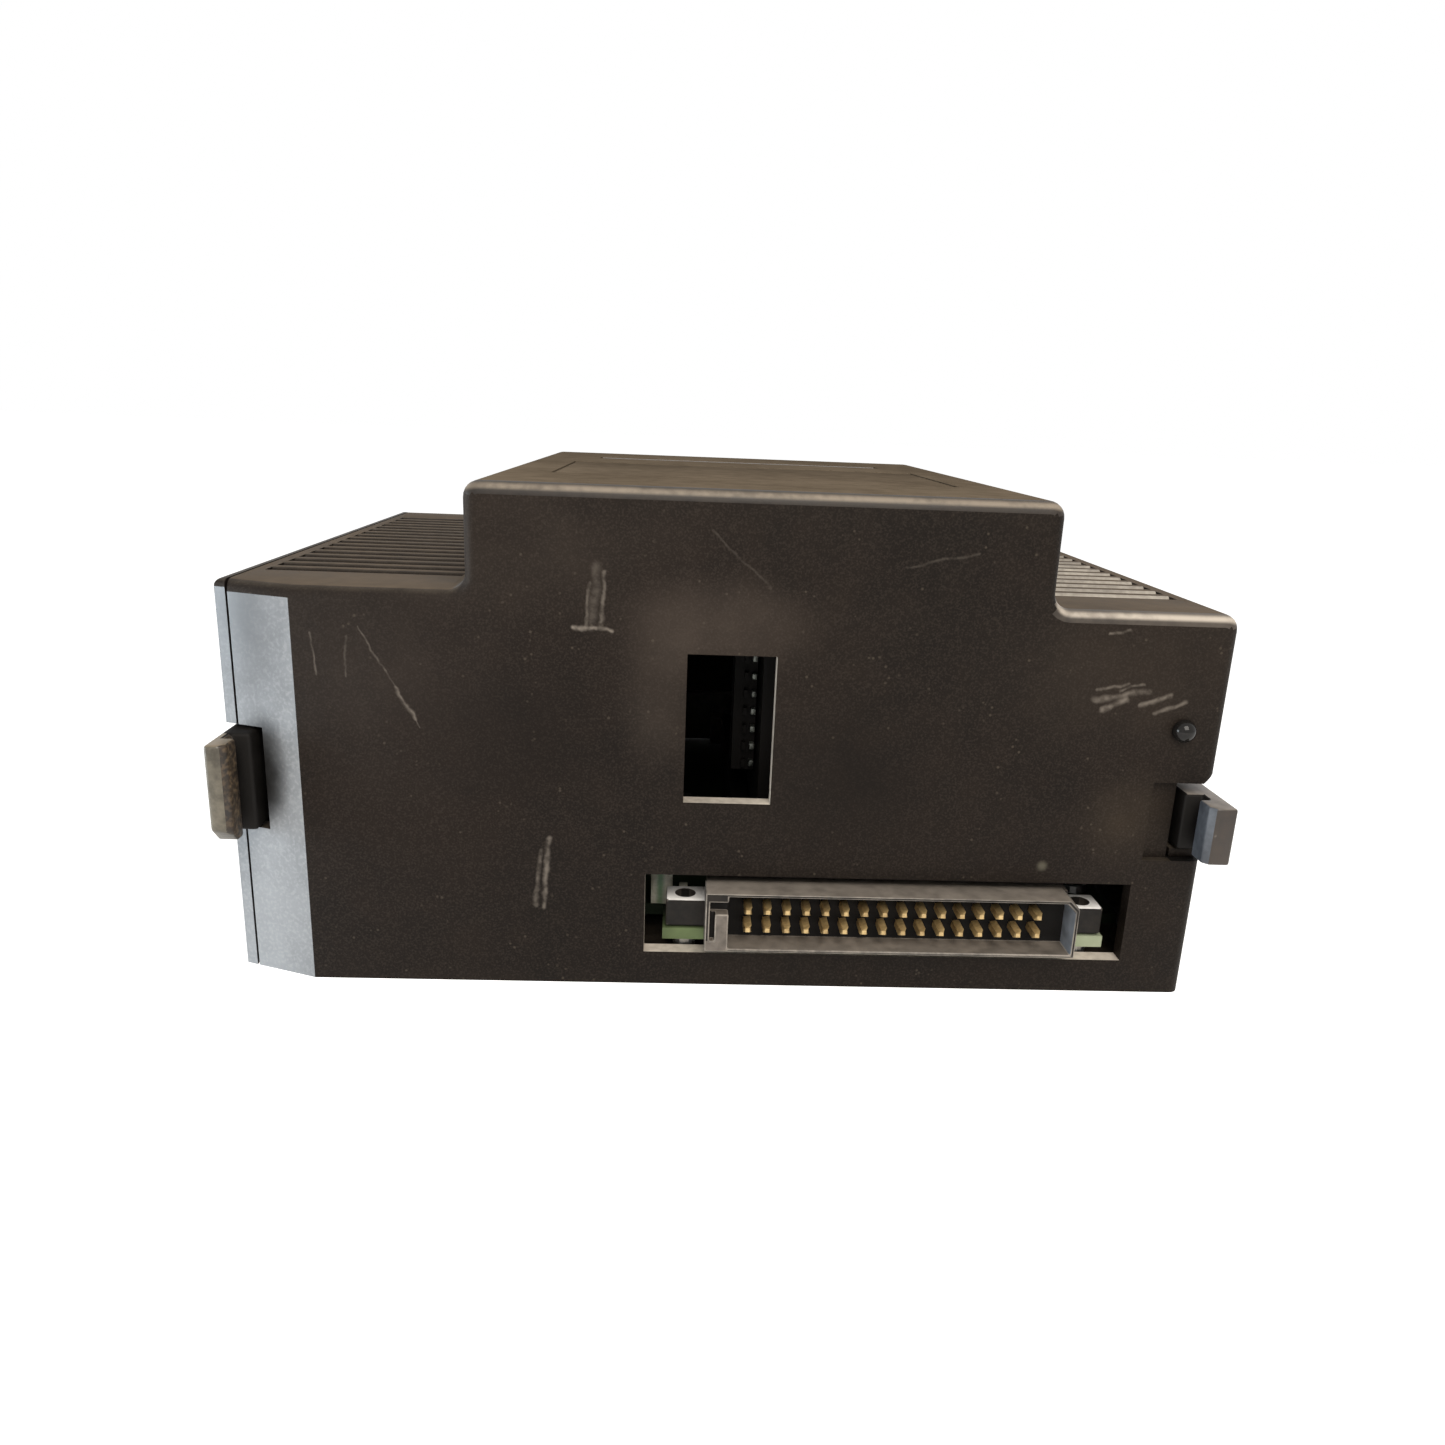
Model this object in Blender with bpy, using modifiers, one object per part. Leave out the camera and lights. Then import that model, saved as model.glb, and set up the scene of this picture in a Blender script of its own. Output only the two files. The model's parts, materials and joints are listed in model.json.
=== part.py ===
# Plug-on PLC module: a stepped dark case with a shrouded bus header on its mating face.
# X runs across the mating face, Y from the mating face (-Y) to the far face, Z up from the base. Metres.
import math

import bmesh
import bpy
from mathutils import Matrix, Vector

MM = 0.001

# Case
CASE_WIDTH = 126.4 * MM
CASE_DEPTH = 94.0 * MM
SHOULDER_HEIGHT = 52.0 * MM
CASE_HEIGHT = 65.0 * MM
RAISED_WIDTH = 72.0 * MM
RAISED_SHIFT = 3.7 * MM
WALL = 2.2 * MM
EDGE_ROUND = 1.5 * MM
CORNER_ROUND = 2.0 * MM
FACET_RUN = 10.1 * MM
FACET_DEPTH = 3.7 * MM
COVER_THICKNESS = 1.5 * MM
COVER_ROUND = 1.0 * MM
BASE_THICKNESS = 2.0 * MM
CLEARANCE = 0.3 * MM
ROUND_STEPS = 4
SHARP_ANGLE = math.radians(50)
SMOOTH_ANGLE = math.radians(40)

# Openings in the case
WINDOW_WIDTH = 11.1 * MM
WINDOW_HEIGHT = 19.3 * MM
WINDOW_SILL = 25.8 * MM
WINDOW_SHIFT = 0.3 * MM
CUTOUT_WIDTH = 64.1 * MM
CUTOUT_HEIGHT = 11.1 * MM
CUTOUT_SILL = 4.7 * MM
CUTOUT_SHIFT = -0.5 * MM
VENT_COUNT = 17
VENT_PITCH = 4.25 * MM
VENT_WIDTH = 1.7 * MM
VENT_SETBACK = 13.0 * MM
VENT_MARGIN = 3.3 * MM
VENT_ROOT = 2.4 * MM

# Bus header, its pins and the socket on the far face
BUS_INSET = 40.55 * MM
BUS_Z = 10.5 * MM
PIN_PITCH = 2.54 * MM
PIN_COLUMNS = 16
PIN_SIZE = 1.0 * MM
PIN_CLEARANCE = 0.28 * MM
PIN_TIP_SETBACK = 0.7 * MM
LEAD_THICKNESS = 0.5 * MM
LEAD_STEP = 2.4 * MM
LEAD_MARGIN = 0.2 * MM
HEADER_LENGTH = 48.7 * MM
HEADER_SHIFT = -0.3 * MM
HEADER_HEIGHT = 8.2 * MM
HEADER_REACH = 3.0 * MM
HEADER_SKIN = 0.9 * MM
HEADER_THICK_END = 3.0 * MM
HEADER_THIN_END = 1.2 * MM
HEADER_FLOOR = 4.0 * MM
HEADER_BODY_DEPTH = 5.2 * MM
HEADER_CHAMFER = 1.2 * MM
EAR_LENGTH = 5.1 * MM
EAR_HEIGHT = 3.8 * MM
EAR_DEPTH = 4.6 * MM
EAR_HOLE_RADIUS = 1.4 * MM
SOCKET_LENGTH = 44.0 * MM
SOCKET_HEIGHT = 5.4 * MM
SOCKET_DEPTH = 8.5 * MM
SOCKET_SETBACK = 0.8 * MM
SOCKET_BACK_REACH = 10.7 * MM
SOCKET_BACK_RISE = 1.6 * MM
SOCKET_BACK_THICKNESS = 2.5 * MM
SOCKET_HOLE = 1.5 * MM

# Boards
BOARD_THICKNESS = 1.6 * MM
BOARD_BOTTOM = 5.7 * MM
BOARD_MARGIN = 6.2 * MM
BOARD_DEPTH = 76.0 * MM
TONGUE_MARGIN = 0.4 * MM
TONGUE_SETBACK = 1.8 * MM
STANDOFF_RADIUS = 3.0 * MM
STANDOFF_INSET_LEFT = 35.0 * MM
STANDOFF_INSET_RIGHT = 5.0 * MM
STANDOFF_INSET_Y = 8.0 * MM
IO_BOARD_X = 5.9 * MM
IO_BOARD_LENGTH = 67.0 * MM
IO_BOARD_START = -35.5 * MM
IO_BOARD_TOP = 47.0 * MM
BOARD_SOCKET_LENGTH = 56.0 * MM
BOARD_SOCKET_WIDTH = 7.0 * MM
BOARD_SOCKET_GRIP = 3.8 * MM

# Latches
LATCH_REACH = 5.0 * MM
LATCH_NOTCH_CUT = 1.3 * MM
LATCH_TAIL = 12.0 * MM
LATCH_TIP_CHAMFER = 0.8 * MM
PIVOT_SETBACK = 19.0 * MM
PIVOT_RADIUS = 0.9 * MM
PIVOT_CLEARANCE = 0.2 * MM
EYE_RADIUS = 2.2 * MM
PAD_HEIGHT = 3.8 * MM
PAD_LENGTH = 6.0 * MM
RIGHT_LATCH_THICKNESS = 3.4 * MM
RIGHT_LATCH_PROUD = 0.9 * MM
RIGHT_LATCH_HEIGHT = 7.6 * MM
RIGHT_LATCH_Z = 24.7 * MM
RIGHT_LATCH_ROOM = 1.6 * MM
LEFT_LATCH_THICKNESS = 2.6 * MM
LEFT_LATCH_INSET = 0.6 * MM
LEFT_LATCH_HEIGHT = 12.8 * MM
LEFT_LATCH_Z = 26.9 * MM
LEFT_LATCH_ROOM = 0.4 * MM
LEFT_LATCH_HEEL = 2.4 * MM
LATCH_STEM_EXTRA = 1.0 * MM
CATCH_LIP = 1.2 * MM
CATCH_ROOM = 2.0 * MM
SCOOP_WIDTH = 3.6 * MM
SCOOP_DEPTH = 1.2 * MM
RELIEF_CHAMFER = 1.5 * MM
SPRING_RADIUS = 1.7 * MM
SPRING_WIRE = 0.5 * MM
SPRING_TURNS = 3
SPRING_POINTS_PER_TURN = 10
SPRING_LENGTH = 4.0 * MM
SPRING_SETBACK = 9.0 * MM
SEAT_THICKNESS = 1.2 * MM
SEAT_LENGTH = 6.0 * MM

# Terminals
TERMINAL_PITCH = 5.08 * MM
FIELD_WAYS = 8
SUPPLY_WAYS = 3
TERMINAL_HEIGHT = 14.0 * MM
TERMINAL_DEPTH = 11.0 * MM
TERMINAL_END = 1.6 * MM
TERMINAL_RECESS = 0.5 * MM
WIRE_RISE = 3.9 * MM
TERMINAL_SCREW_RISE = 9.8 * MM
WIRE_HOLE = 3.4 * MM
WIRE_HOLE_DEPTH = 6.0 * MM
TERMINAL_SCREW_RADIUS = 1.5 * MM
TERMINAL_SCREW_DEPTH = 3.0 * MM
FIELD_Y = 14.0 * MM
SUPPLY_Y = 17.0 * MM

# Raised top
LABEL_LENGTH = 56.0 * MM
LABEL_WIDTH = 34.0 * MM
LABEL_THICKNESS = 0.6 * MM
LABEL_Y = -8.0 * MM
GUIDE_LENGTH = 50.0 * MM
GUIDE_WIDTH = 5.0 * MM
GUIDE_Y = 26.0 * MM
GUIDE_FLANGE = 1.5 * MM
GUIDE_FLANGE_HEIGHT = 1.5 * MM
TOP_RECESS = 0.1 * MM

# Fasteners and the locating stud
SCREW_RADIUS = 1.2 * MM
SCREW_HEAD_RADIUS = 2.3 * MM
SCREW_HEAD_HEIGHT = 1.1 * MM
SCREW_LENGTH = 7.0 * MM
SCREW_CLEARANCE = 0.3 * MM
DRIVE_WIDTH_SHARE = 0.3
DRIVE_DEPTH_SHARE = 0.5
COVER_SCREW_RADIUS = 0.9 * MM
COVER_SCREW_HEAD = 1.8 * MM
COVER_SCREW_HEAD_HEIGHT = 0.8 * MM
BOSS_SIZE = 6.0 * MM
BOSS_HEIGHT = 10.0 * MM
BOSS_LEFT_INSET = 13.0 * MM
COVER_BOSS_INSET = 8.0 * MM
EAR_SCREW_LENGTH = 4.6 * MM
EAR_SCREW_HEAD = 1.6 * MM
STUD_INSET = 5.4 * MM
STUD_Z = 37.2 * MM
STUD_RADIUS = 1.5 * MM
STUD_SHANK_RADIUS = 1.0 * MM
STUD_HEIGHT = 1.8 * MM

# Board components
CHIP_LEADS = 7
CHIP_BODY_WIDTH = 6.4 * MM
CHIP_BODY_HEIGHT = 3.2 * MM
CHIP_ROW_SPACING = 8.4 * MM
CHIP_LEAD_WIDTH = 1.1 * MM
CHIP_LEAD_Y = -30.0 * MM
CHIP_Z = 33.4 * MM
PROCESSOR_SIZE = 22.0 * MM
PROCESSOR_HEIGHT = 3.4 * MM
PROCESSOR_EDGE = 0.4 * MM
CAPACITOR_RADIUS = 6.3 * MM
CAPACITOR_HEIGHT = 20.0 * MM
CAPACITOR_EDGE = 0.8 * MM
RELAY_LENGTH = 20.0 * MM
RELAY_WIDTH = 10.0 * MM
RELAY_HEIGHT = 15.6 * MM
RELAY_COUNT = 4
RELAY_PITCH = 11.2 * MM
RELAY_EDGE = 0.5 * MM
TRANSFORMER_SIZE = 16.0 * MM
TRANSFORMER_HEIGHT = 18.0 * MM
TRANSFORMER_EDGE = 1.0 * MM

X_LEFT = -CASE_WIDTH / 2
X_RIGHT = CASE_WIDTH / 2
Y_FRONT = -CASE_DEPTH / 2
Y_FAR = CASE_DEPTH / 2
X_SEAM = X_LEFT + COVER_THICKNESS + CLEARANCE
BUS_X = X_RIGHT - BUS_INSET
BOARD_WIDTH = CASE_WIDTH - 2 * BOARD_MARGIN
STUD_X = X_RIGHT - STUD_INSET
RELAY_START = X_LEFT + TERMINAL_RECESS + TERMINAL_DEPTH + 2 * CLEARANCE
RAISED_LEFT = RAISED_SHIFT - RAISED_WIDTH / 2
RAISED_RIGHT = RAISED_SHIFT + RAISED_WIDTH / 2
BOARD_TOP = BOARD_BOTTOM + BOARD_THICKNESS
SEAT_Z = BOARD_TOP + CLEARANCE
HEADER_X = BUS_X + HEADER_SHIFT
HEADER_LEFT = HEADER_X - HEADER_LENGTH / 2
HEADER_RIGHT = HEADER_X + HEADER_LENGTH / 2
TONGUE_EDGE = Y_FRONT + TONGUE_SETBACK
PIVOT_Y = Y_FRONT + PIVOT_SETBACK
OVERRUN = 3.0 * MM
TINY = 0.01 * MM
MERGE = 0.0001 * MM

for old in list(bpy.data.objects):
    bpy.data.objects.remove(old, do_unlink=True)

parts = bpy.data.collections.new("plc_module")
cutters = bpy.data.collections.new("cutters")
for group in (parts, cutters):
    bpy.context.scene.collection.children.link(group)


def finish(name, colour, roughness, metallic=0.0):
    made = bpy.data.materials.new(name)
    made.use_nodes = True
    shader = made.node_tree.nodes["Principled BSDF"]
    shader.inputs["Base Color"].default_value = (*colour, 1.0)
    shader.inputs["Roughness"].default_value = roughness
    shader.inputs["Metallic"].default_value = metallic
    return made


CASE_PLASTIC = finish("case_plastic", (0.028, 0.022, 0.018), 0.45)
SMOKED_PLASTIC = finish("smoked_plastic", (0.17, 0.15, 0.11), 0.4)
LATCH_PLASTIC = finish("latch_plastic", (0.035, 0.03, 0.028), 0.4)
HEADER_PLASTIC = finish("header_plastic", (0.06, 0.052, 0.043), 0.5)
GOLD = finish("contact_gold", (0.6, 0.42, 0.16), 0.3, 1.0)
STEEL = finish("screw_steel", (0.5, 0.5, 0.5), 0.35, 1.0)
LAMINATE = finish("board_laminate", (0.05, 0.12, 0.03), 0.5)
CHIP_EPOXY = finish("chip_epoxy", (0.02, 0.02, 0.02), 0.5)
TERMINAL_PLASTIC = finish("terminal_plastic", (0.06, 0.16, 0.07), 0.5)
SLEEVE = finish("capacitor_sleeve", (0.02, 0.03, 0.06), 0.4)
RELAY_PLASTIC = finish("relay_plastic", (0.04, 0.09, 0.2), 0.4)
CORE = finish("transformer_core", (0.12, 0.1, 0.06), 0.6)
LABEL_FILM = finish("label_film", (0.35, 0.34, 0.32), 0.5)
GUIDE_LENS = finish("guide_lens", (0.12, 0.03, 0.02), 0.2)


def add_object(name, mesh, group, material=None):
    made = bpy.data.objects.new(name, mesh)
    group.objects.link(made)
    if material:
        mesh.materials.append(material)
    else:
        made.hide_render = True
        made.display_type = "WIRE"
    return made


def mesh_from(name, shape):
    mesh = bpy.data.meshes.new(name)
    shape.to_mesh(mesh)
    shape.free()
    return mesh


def place_of(material):
    return parts if material else cutters


def add_cube(shape, low, high):
    size = Vector(high) - Vector(low)
    centre = (Vector(high) + Vector(low)) / 2
    matrix = Matrix.Translation(centre) @ Matrix.Diagonal((*size, 1.0))
    bmesh.ops.create_cube(shape, size=1.0, matrix=matrix)


def box(name, low, high, material=None):
    shape = bmesh.new()
    add_cube(shape, low, high)
    return add_object(name, mesh_from(name, shape), place_of(material), material)


def boxes(name, corners):
    shape = bmesh.new()
    for low, high in corners:
        add_cube(shape, low, high)
    return add_object(name, mesh_from(name, shape), cutters)


def cylinder(name, radius, start, end, material=None, sides=24):
    shape = bmesh.new()
    line = Vector(end) - Vector(start)
    turn = line.to_track_quat("Z", "Y").to_matrix().to_4x4()
    matrix = Matrix.Translation((Vector(start) + Vector(end)) / 2) @ turn
    bmesh.ops.create_cone(
        shape, cap_ends=True, segments=sides, radius1=radius, radius2=radius, depth=line.length, matrix=matrix
    )
    made = add_object(name, mesh_from(name, shape), place_of(material), material)
    shade(made)
    return made


def shade(made):
    made.data.shade_smooth()
    made.data.set_sharp_from_angle(angle=SMOOTH_ANGLE)


def boolean(target, tool, operation="DIFFERENCE"):
    step = target.modifiers.new(tool.name, "BOOLEAN")
    step.operation = operation
    step.solver = "EXACT"
    step.object = tool


def soften(target, width, segments=2):
    step = target.modifiers.new("soft_edges", "BEVEL")
    step.width = width
    step.segments = segments
    step.limit_method = "ANGLE"
    step.angle_limit = SHARP_ANGLE


# Outline whose corners are (x, y, radius), with each radius turned into an arc
def rounded(corners):
    points = []
    count = len(corners)
    for index, (x, y, radius) in enumerate(corners):
        corner = Vector((x, y))
        if radius <= 0:
            points.append(corner)
            continue
        before = (Vector(corners[index - 1][:2]) - corner).normalized()
        after = (Vector(corners[(index + 1) % count][:2]) - corner).normalized()
        half = before.angle(after) / 2
        centre = corner + (before + after).normalized() * radius / math.sin(half)
        first = corner + before * radius / math.tan(half) - centre
        last = corner + after * radius / math.tan(half) - centre
        sweep = first.angle_signed(last)
        for step in range(ROUND_STEPS + 1):
            turn = Matrix.Rotation(-sweep * step / ROUND_STEPS, 2)
            points.append(centre + turn @ first)
    return points


AXES = {
    "XZ": Matrix(((1, 0, 0, 0), (0, 0, -1, 0), (0, 1, 0, 0), (0, 0, 0, 1))),
    "XY": Matrix.Identity(4),
}


# Flat outline drawn in the named plane and thickened between two levels on the third axis
def prism(name, corners, plane, low, high, material=None):
    curve = bpy.data.curves.new(name, "CURVE")
    curve.dimensions = "2D"
    curve.fill_mode = "BOTH"
    curve.extrude = (high - low) / 2
    points = rounded(corners)
    spline = curve.splines.new("POLY")
    spline.points.add(len(points) - 1)
    for slot, point in zip(spline.points, points):
        slot.co = (point.x, point.y, 0.0, 1.0)
    spline.use_cyclic_u = True
    holder = bpy.data.objects.new(name + "_outline", curve)
    cutters.objects.link(holder)
    bpy.context.view_layer.update()
    graph = bpy.context.evaluated_depsgraph_get()
    mesh = bpy.data.meshes.new_from_object(holder.evaluated_get(graph))
    bpy.data.objects.remove(holder, do_unlink=True)
    shape = bmesh.new()
    shape.from_mesh(mesh)
    bmesh.ops.remove_doubles(shape, verts=shape.verts, dist=MERGE)
    caps = []
    for face in shape.faces:
        side = face.verts[0].co.z
        if all(vertex.co.z * side > 0 for vertex in face.verts):
            caps.append(face)
    bmesh.ops.delete(shape, geom=caps, context="FACES")
    bmesh.ops.edgeloop_fill(shape, edges=[edge for edge in shape.edges if edge.is_boundary])
    middle = (low + high) / 2
    shift = Vector((0, middle, 0)) if plane == "XZ" else Vector((0, 0, middle))
    shape.transform(Matrix.Translation(shift) @ AXES[plane])
    bmesh.ops.recalc_face_normals(shape, faces=shape.faces)
    shape.to_mesh(mesh)
    shape.free()
    mesh.materials.clear()
    return add_object(name, mesh, place_of(material), material)


# Turned piece: profile (radius, height) from the top of its axis down its outer side, set along a direction
def turned(name, profile, base, direction, material, sides=20):
    mesh = bpy.data.meshes.new(name)
    edges = [(index, index + 1) for index in range(len(profile) - 1)]
    mesh.from_pydata([(radius, 0.0, height) for radius, height in profile], edges, [])
    made = add_object(name, mesh, parts, material)
    step = made.modifiers.new("turn", "SCREW")
    step.angle = math.tau
    step.steps = sides
    step.render_steps = sides
    step.use_merge_vertices = True
    step.merge_threshold = TINY
    step.use_smooth_shade = False
    made.location = base
    made.rotation_euler = Vector(direction).to_track_quat("Z", "Y").to_euler()
    return made


def screw(name, seat, direction, radius, length, head_radius, head_height):
    profile = [
        (0.0, head_height),
        (head_radius, head_height),
        (head_radius, 0.0),
        (radius, 0.0),
        (radius, -length),
        (0.0, -length),
    ]
    made = turned(name, profile, seat, direction, STEEL, sides=16)
    slot_width = head_radius * DRIVE_WIDTH_SHARE
    slot_depth = head_height * DRIVE_DEPTH_SHARE
    tool = box(
        name + "_slot",
        (-head_radius * 2, -slot_width / 2, head_height - slot_depth),
        (head_radius * 2, slot_width / 2, head_height + OVERRUN),
    )
    tool.parent = made
    boolean(made, tool)


# Cuts off the slanted facet at the left end of the mating face, moved inwards by a depth
def slice_facet(made, inward=0.0):
    normal = Vector((-FACET_DEPTH, -FACET_RUN, 0.0)).normalized()
    point = Vector((X_LEFT + FACET_RUN, Y_FRONT, 0.0)) - normal * inward
    shape = bmesh.new()
    shape.from_mesh(made.data)
    everything = shape.verts[:] + shape.edges[:] + shape.faces[:]
    bmesh.ops.bisect_plane(shape, geom=everything, plane_co=point, plane_no=normal, clear_outer=True)
    rim = [edge for edge in shape.edges if edge.is_boundary]
    bmesh.ops.edgeloop_fill(shape, edges=rim)
    bmesh.ops.recalc_face_normals(shape, faces=shape.faces)
    shape.to_mesh(made.data)
    shape.free()


# Rounds only the edges that the test picks
def round_edges(made, width, test):
    shape = bmesh.new()
    shape.from_mesh(made.data)
    weight = shape.edges.layers.float.new("bevel_weight_edge")
    for edge in shape.edges:
        if edge.is_manifold and edge.calc_face_angle() > SHARP_ANGLE and test(edge):
            edge[weight] = 1.0
    shape.to_mesh(made.data)
    shape.free()
    step = made.modifiers.new("rounded_edges", "BEVEL")
    step.width = width
    step.segments = 3
    step.limit_method = "WEIGHT"


def stepped_outline(inset, left, floor):
    shoulder = SHOULDER_HEIGHT - inset
    top = CASE_HEIGHT - inset
    right = X_RIGHT - inset
    raised_left = RAISED_LEFT + inset
    raised_right = RAISED_RIGHT - inset
    outer = max(CORNER_ROUND - inset, 0.0)
    inner = CORNER_ROUND + inset
    return [
        (left, floor, 0.0),
        (right, floor, 0.0),
        (right, shoulder, outer),
        (raised_right, shoulder, inner),
        (raised_right, top, outer),
        (raised_left, top, outer),
        (raised_left, shoulder, inner),
        (left, shoulder, 0.0),
    ]


# A latch sits in a slot in an end wall: sizes that its wall, cover and springs share
def latch_sizes(side):
    if side > 0:
        thickness = RIGHT_LATCH_THICKNESS
        outer = X_RIGHT + RIGHT_LATCH_PROUD
        height, middle, room = RIGHT_LATCH_HEIGHT, RIGHT_LATCH_Z, RIGHT_LATCH_ROOM
        wall_inside = X_RIGHT - WALL
    else:
        thickness = LEFT_LATCH_THICKNESS
        outer = X_LEFT + LEFT_LATCH_INSET
        height, middle, room = LEFT_LATCH_HEIGHT, LEFT_LATCH_Z, LEFT_LATCH_ROOM
        wall_inside = X_LEFT + COVER_THICKNESS
    inner = outer - side * thickness
    stem_inner = inner - side * LATCH_STEM_EXTRA
    pivot_x = (outer + stem_inner) / 2 - side * PIVOT_RADIUS / 2
    return {
        "outer": outer,
        "inner": inner,
        "stem_inner": stem_inner,
        "pivot_x": pivot_x,
        "low": middle - height / 2,
        "high": middle + height / 2,
        "slot_low": middle - height / 2 - room,
        "slot_high": middle + height / 2 + room,
        "slot_end": PIVOT_Y + LATCH_TAIL + room,
        "wall_inside": wall_inside,
        "seat_x": stem_inner - side * (2 * CLEARANCE + SPRING_LENGTH),
    }


def ordered(first, second):
    return (min(first, second), max(first, second))


def x_box(name, x_pair, y_pair, z_pair, material=None):
    x_low, x_high = ordered(*x_pair)
    return box(name, (x_low, y_pair[0], z_pair[0]), (x_high, y_pair[1], z_pair[1]), material)


# Pads that hold a latch's pivot pin, and the ledge and plate that its spring pushes on
def add_latch_seats(target, side):
    sizes = latch_sizes(side)
    label = "right" if side > 0 else "left"
    reach = sizes["pivot_x"] - side * (EYE_RADIUS + CLEARANCE)
    wall_x = sizes["wall_inside"] + side * COVER_THICKNESS / 2
    pad_y = (PIVOT_Y - PAD_LENGTH / 2, PIVOT_Y + PAD_LENGTH / 2)
    low_pad = (sizes["slot_low"] - PAD_HEIGHT, sizes["slot_low"])
    high_pad = (sizes["slot_high"], sizes["slot_high"] + PAD_HEIGHT)
    spring_y = PIVOT_Y + SPRING_SETBACK
    seat_y = (spring_y - SEAT_LENGTH / 2, spring_y + SEAT_LENGTH / 2)
    plate_back = sizes["seat_x"] - side * SEAT_THICKNESS
    middle = (sizes["low"] + sizes["high"]) / 2
    plate_top = middle + SPRING_RADIUS + SPRING_WIRE
    boolean(target, x_box(label + "_low_pad", (wall_x, reach), pad_y, low_pad), "UNION")
    boolean(target, x_box(label + "_high_pad", (wall_x, reach), pad_y, high_pad), "UNION")
    boolean(target, x_box(label + "_ledge", (wall_x, plate_back), seat_y, low_pad), "UNION")
    plate_z = (sizes["slot_low"] - PAD_HEIGHT / 2, plate_top)
    boolean(target, x_box(label + "_plate", (sizes["seat_x"], plate_back), seat_y, plate_z), "UNION")
    hole = cylinder(
        label + "_pivot_hole",
        PIVOT_RADIUS + PIVOT_CLEARANCE,
        (sizes["pivot_x"], PIVOT_Y, sizes["slot_low"] - PAD_HEIGHT + CLEARANCE),
        (sizes["pivot_x"], PIVOT_Y, sizes["slot_high"] + PAD_HEIGHT - CLEARANCE),
    )
    boolean(target, hole)


def vent_slots():
    corners = []
    for index in range(VENT_COUNT):
        y = Y_FRONT + VENT_SETBACK + index * VENT_PITCH
        y_pair = (y - VENT_WIDTH / 2, y + VENT_WIDTH / 2)
        for x_low, x_high in (
            (X_LEFT + VENT_MARGIN, RAISED_LEFT - VENT_ROOT),
            (RAISED_RIGHT + VENT_ROOT, X_RIGHT - VENT_MARGIN),
        ):
            low = (x_low, y_pair[0], SHOULDER_HEIGHT - WALL - OVERRUN)
            corners.append((low, (x_high, y_pair[1], SHOULDER_HEIGHT + OVERRUN)))
    return boxes("vent_slots", corners)


def boss_places():
    right = X_RIGHT - WALL - BOSS_SIZE / 2
    left = X_SEAM + BOSS_LEFT_INSET
    y = CASE_DEPTH / 2 - WALL - BOSS_SIZE / 2
    return [(left, -y), (right, -y), (left, y), (right, y)]


def cover_screw_places():
    y = CASE_DEPTH / 2 - WALL - COVER_BOSS_INSET
    z = SHOULDER_HEIGHT - WALL - BOSS_SIZE / 2
    return [(-y, z), (y, z)]


def terminal_span(ways):
    return ways * TERMINAL_PITCH + 2 * TERMINAL_END


# Openings in the wall for one terminal block, with its clearance all round
def terminal_gap(name, side, y, ways):
    half = terminal_span(ways) / 2 + CLEARANCE
    wall = ordered(side * (CASE_WIDTH / 2 + OVERRUN), side * (CASE_WIDTH / 2 - WALL - OVERRUN))
    z_pair = (SEAT_Z - CLEARANCE, SEAT_Z + TERMINAL_HEIGHT + CLEARANCE)
    return x_box(name, wall, (y - half, y + half), z_pair)


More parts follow.
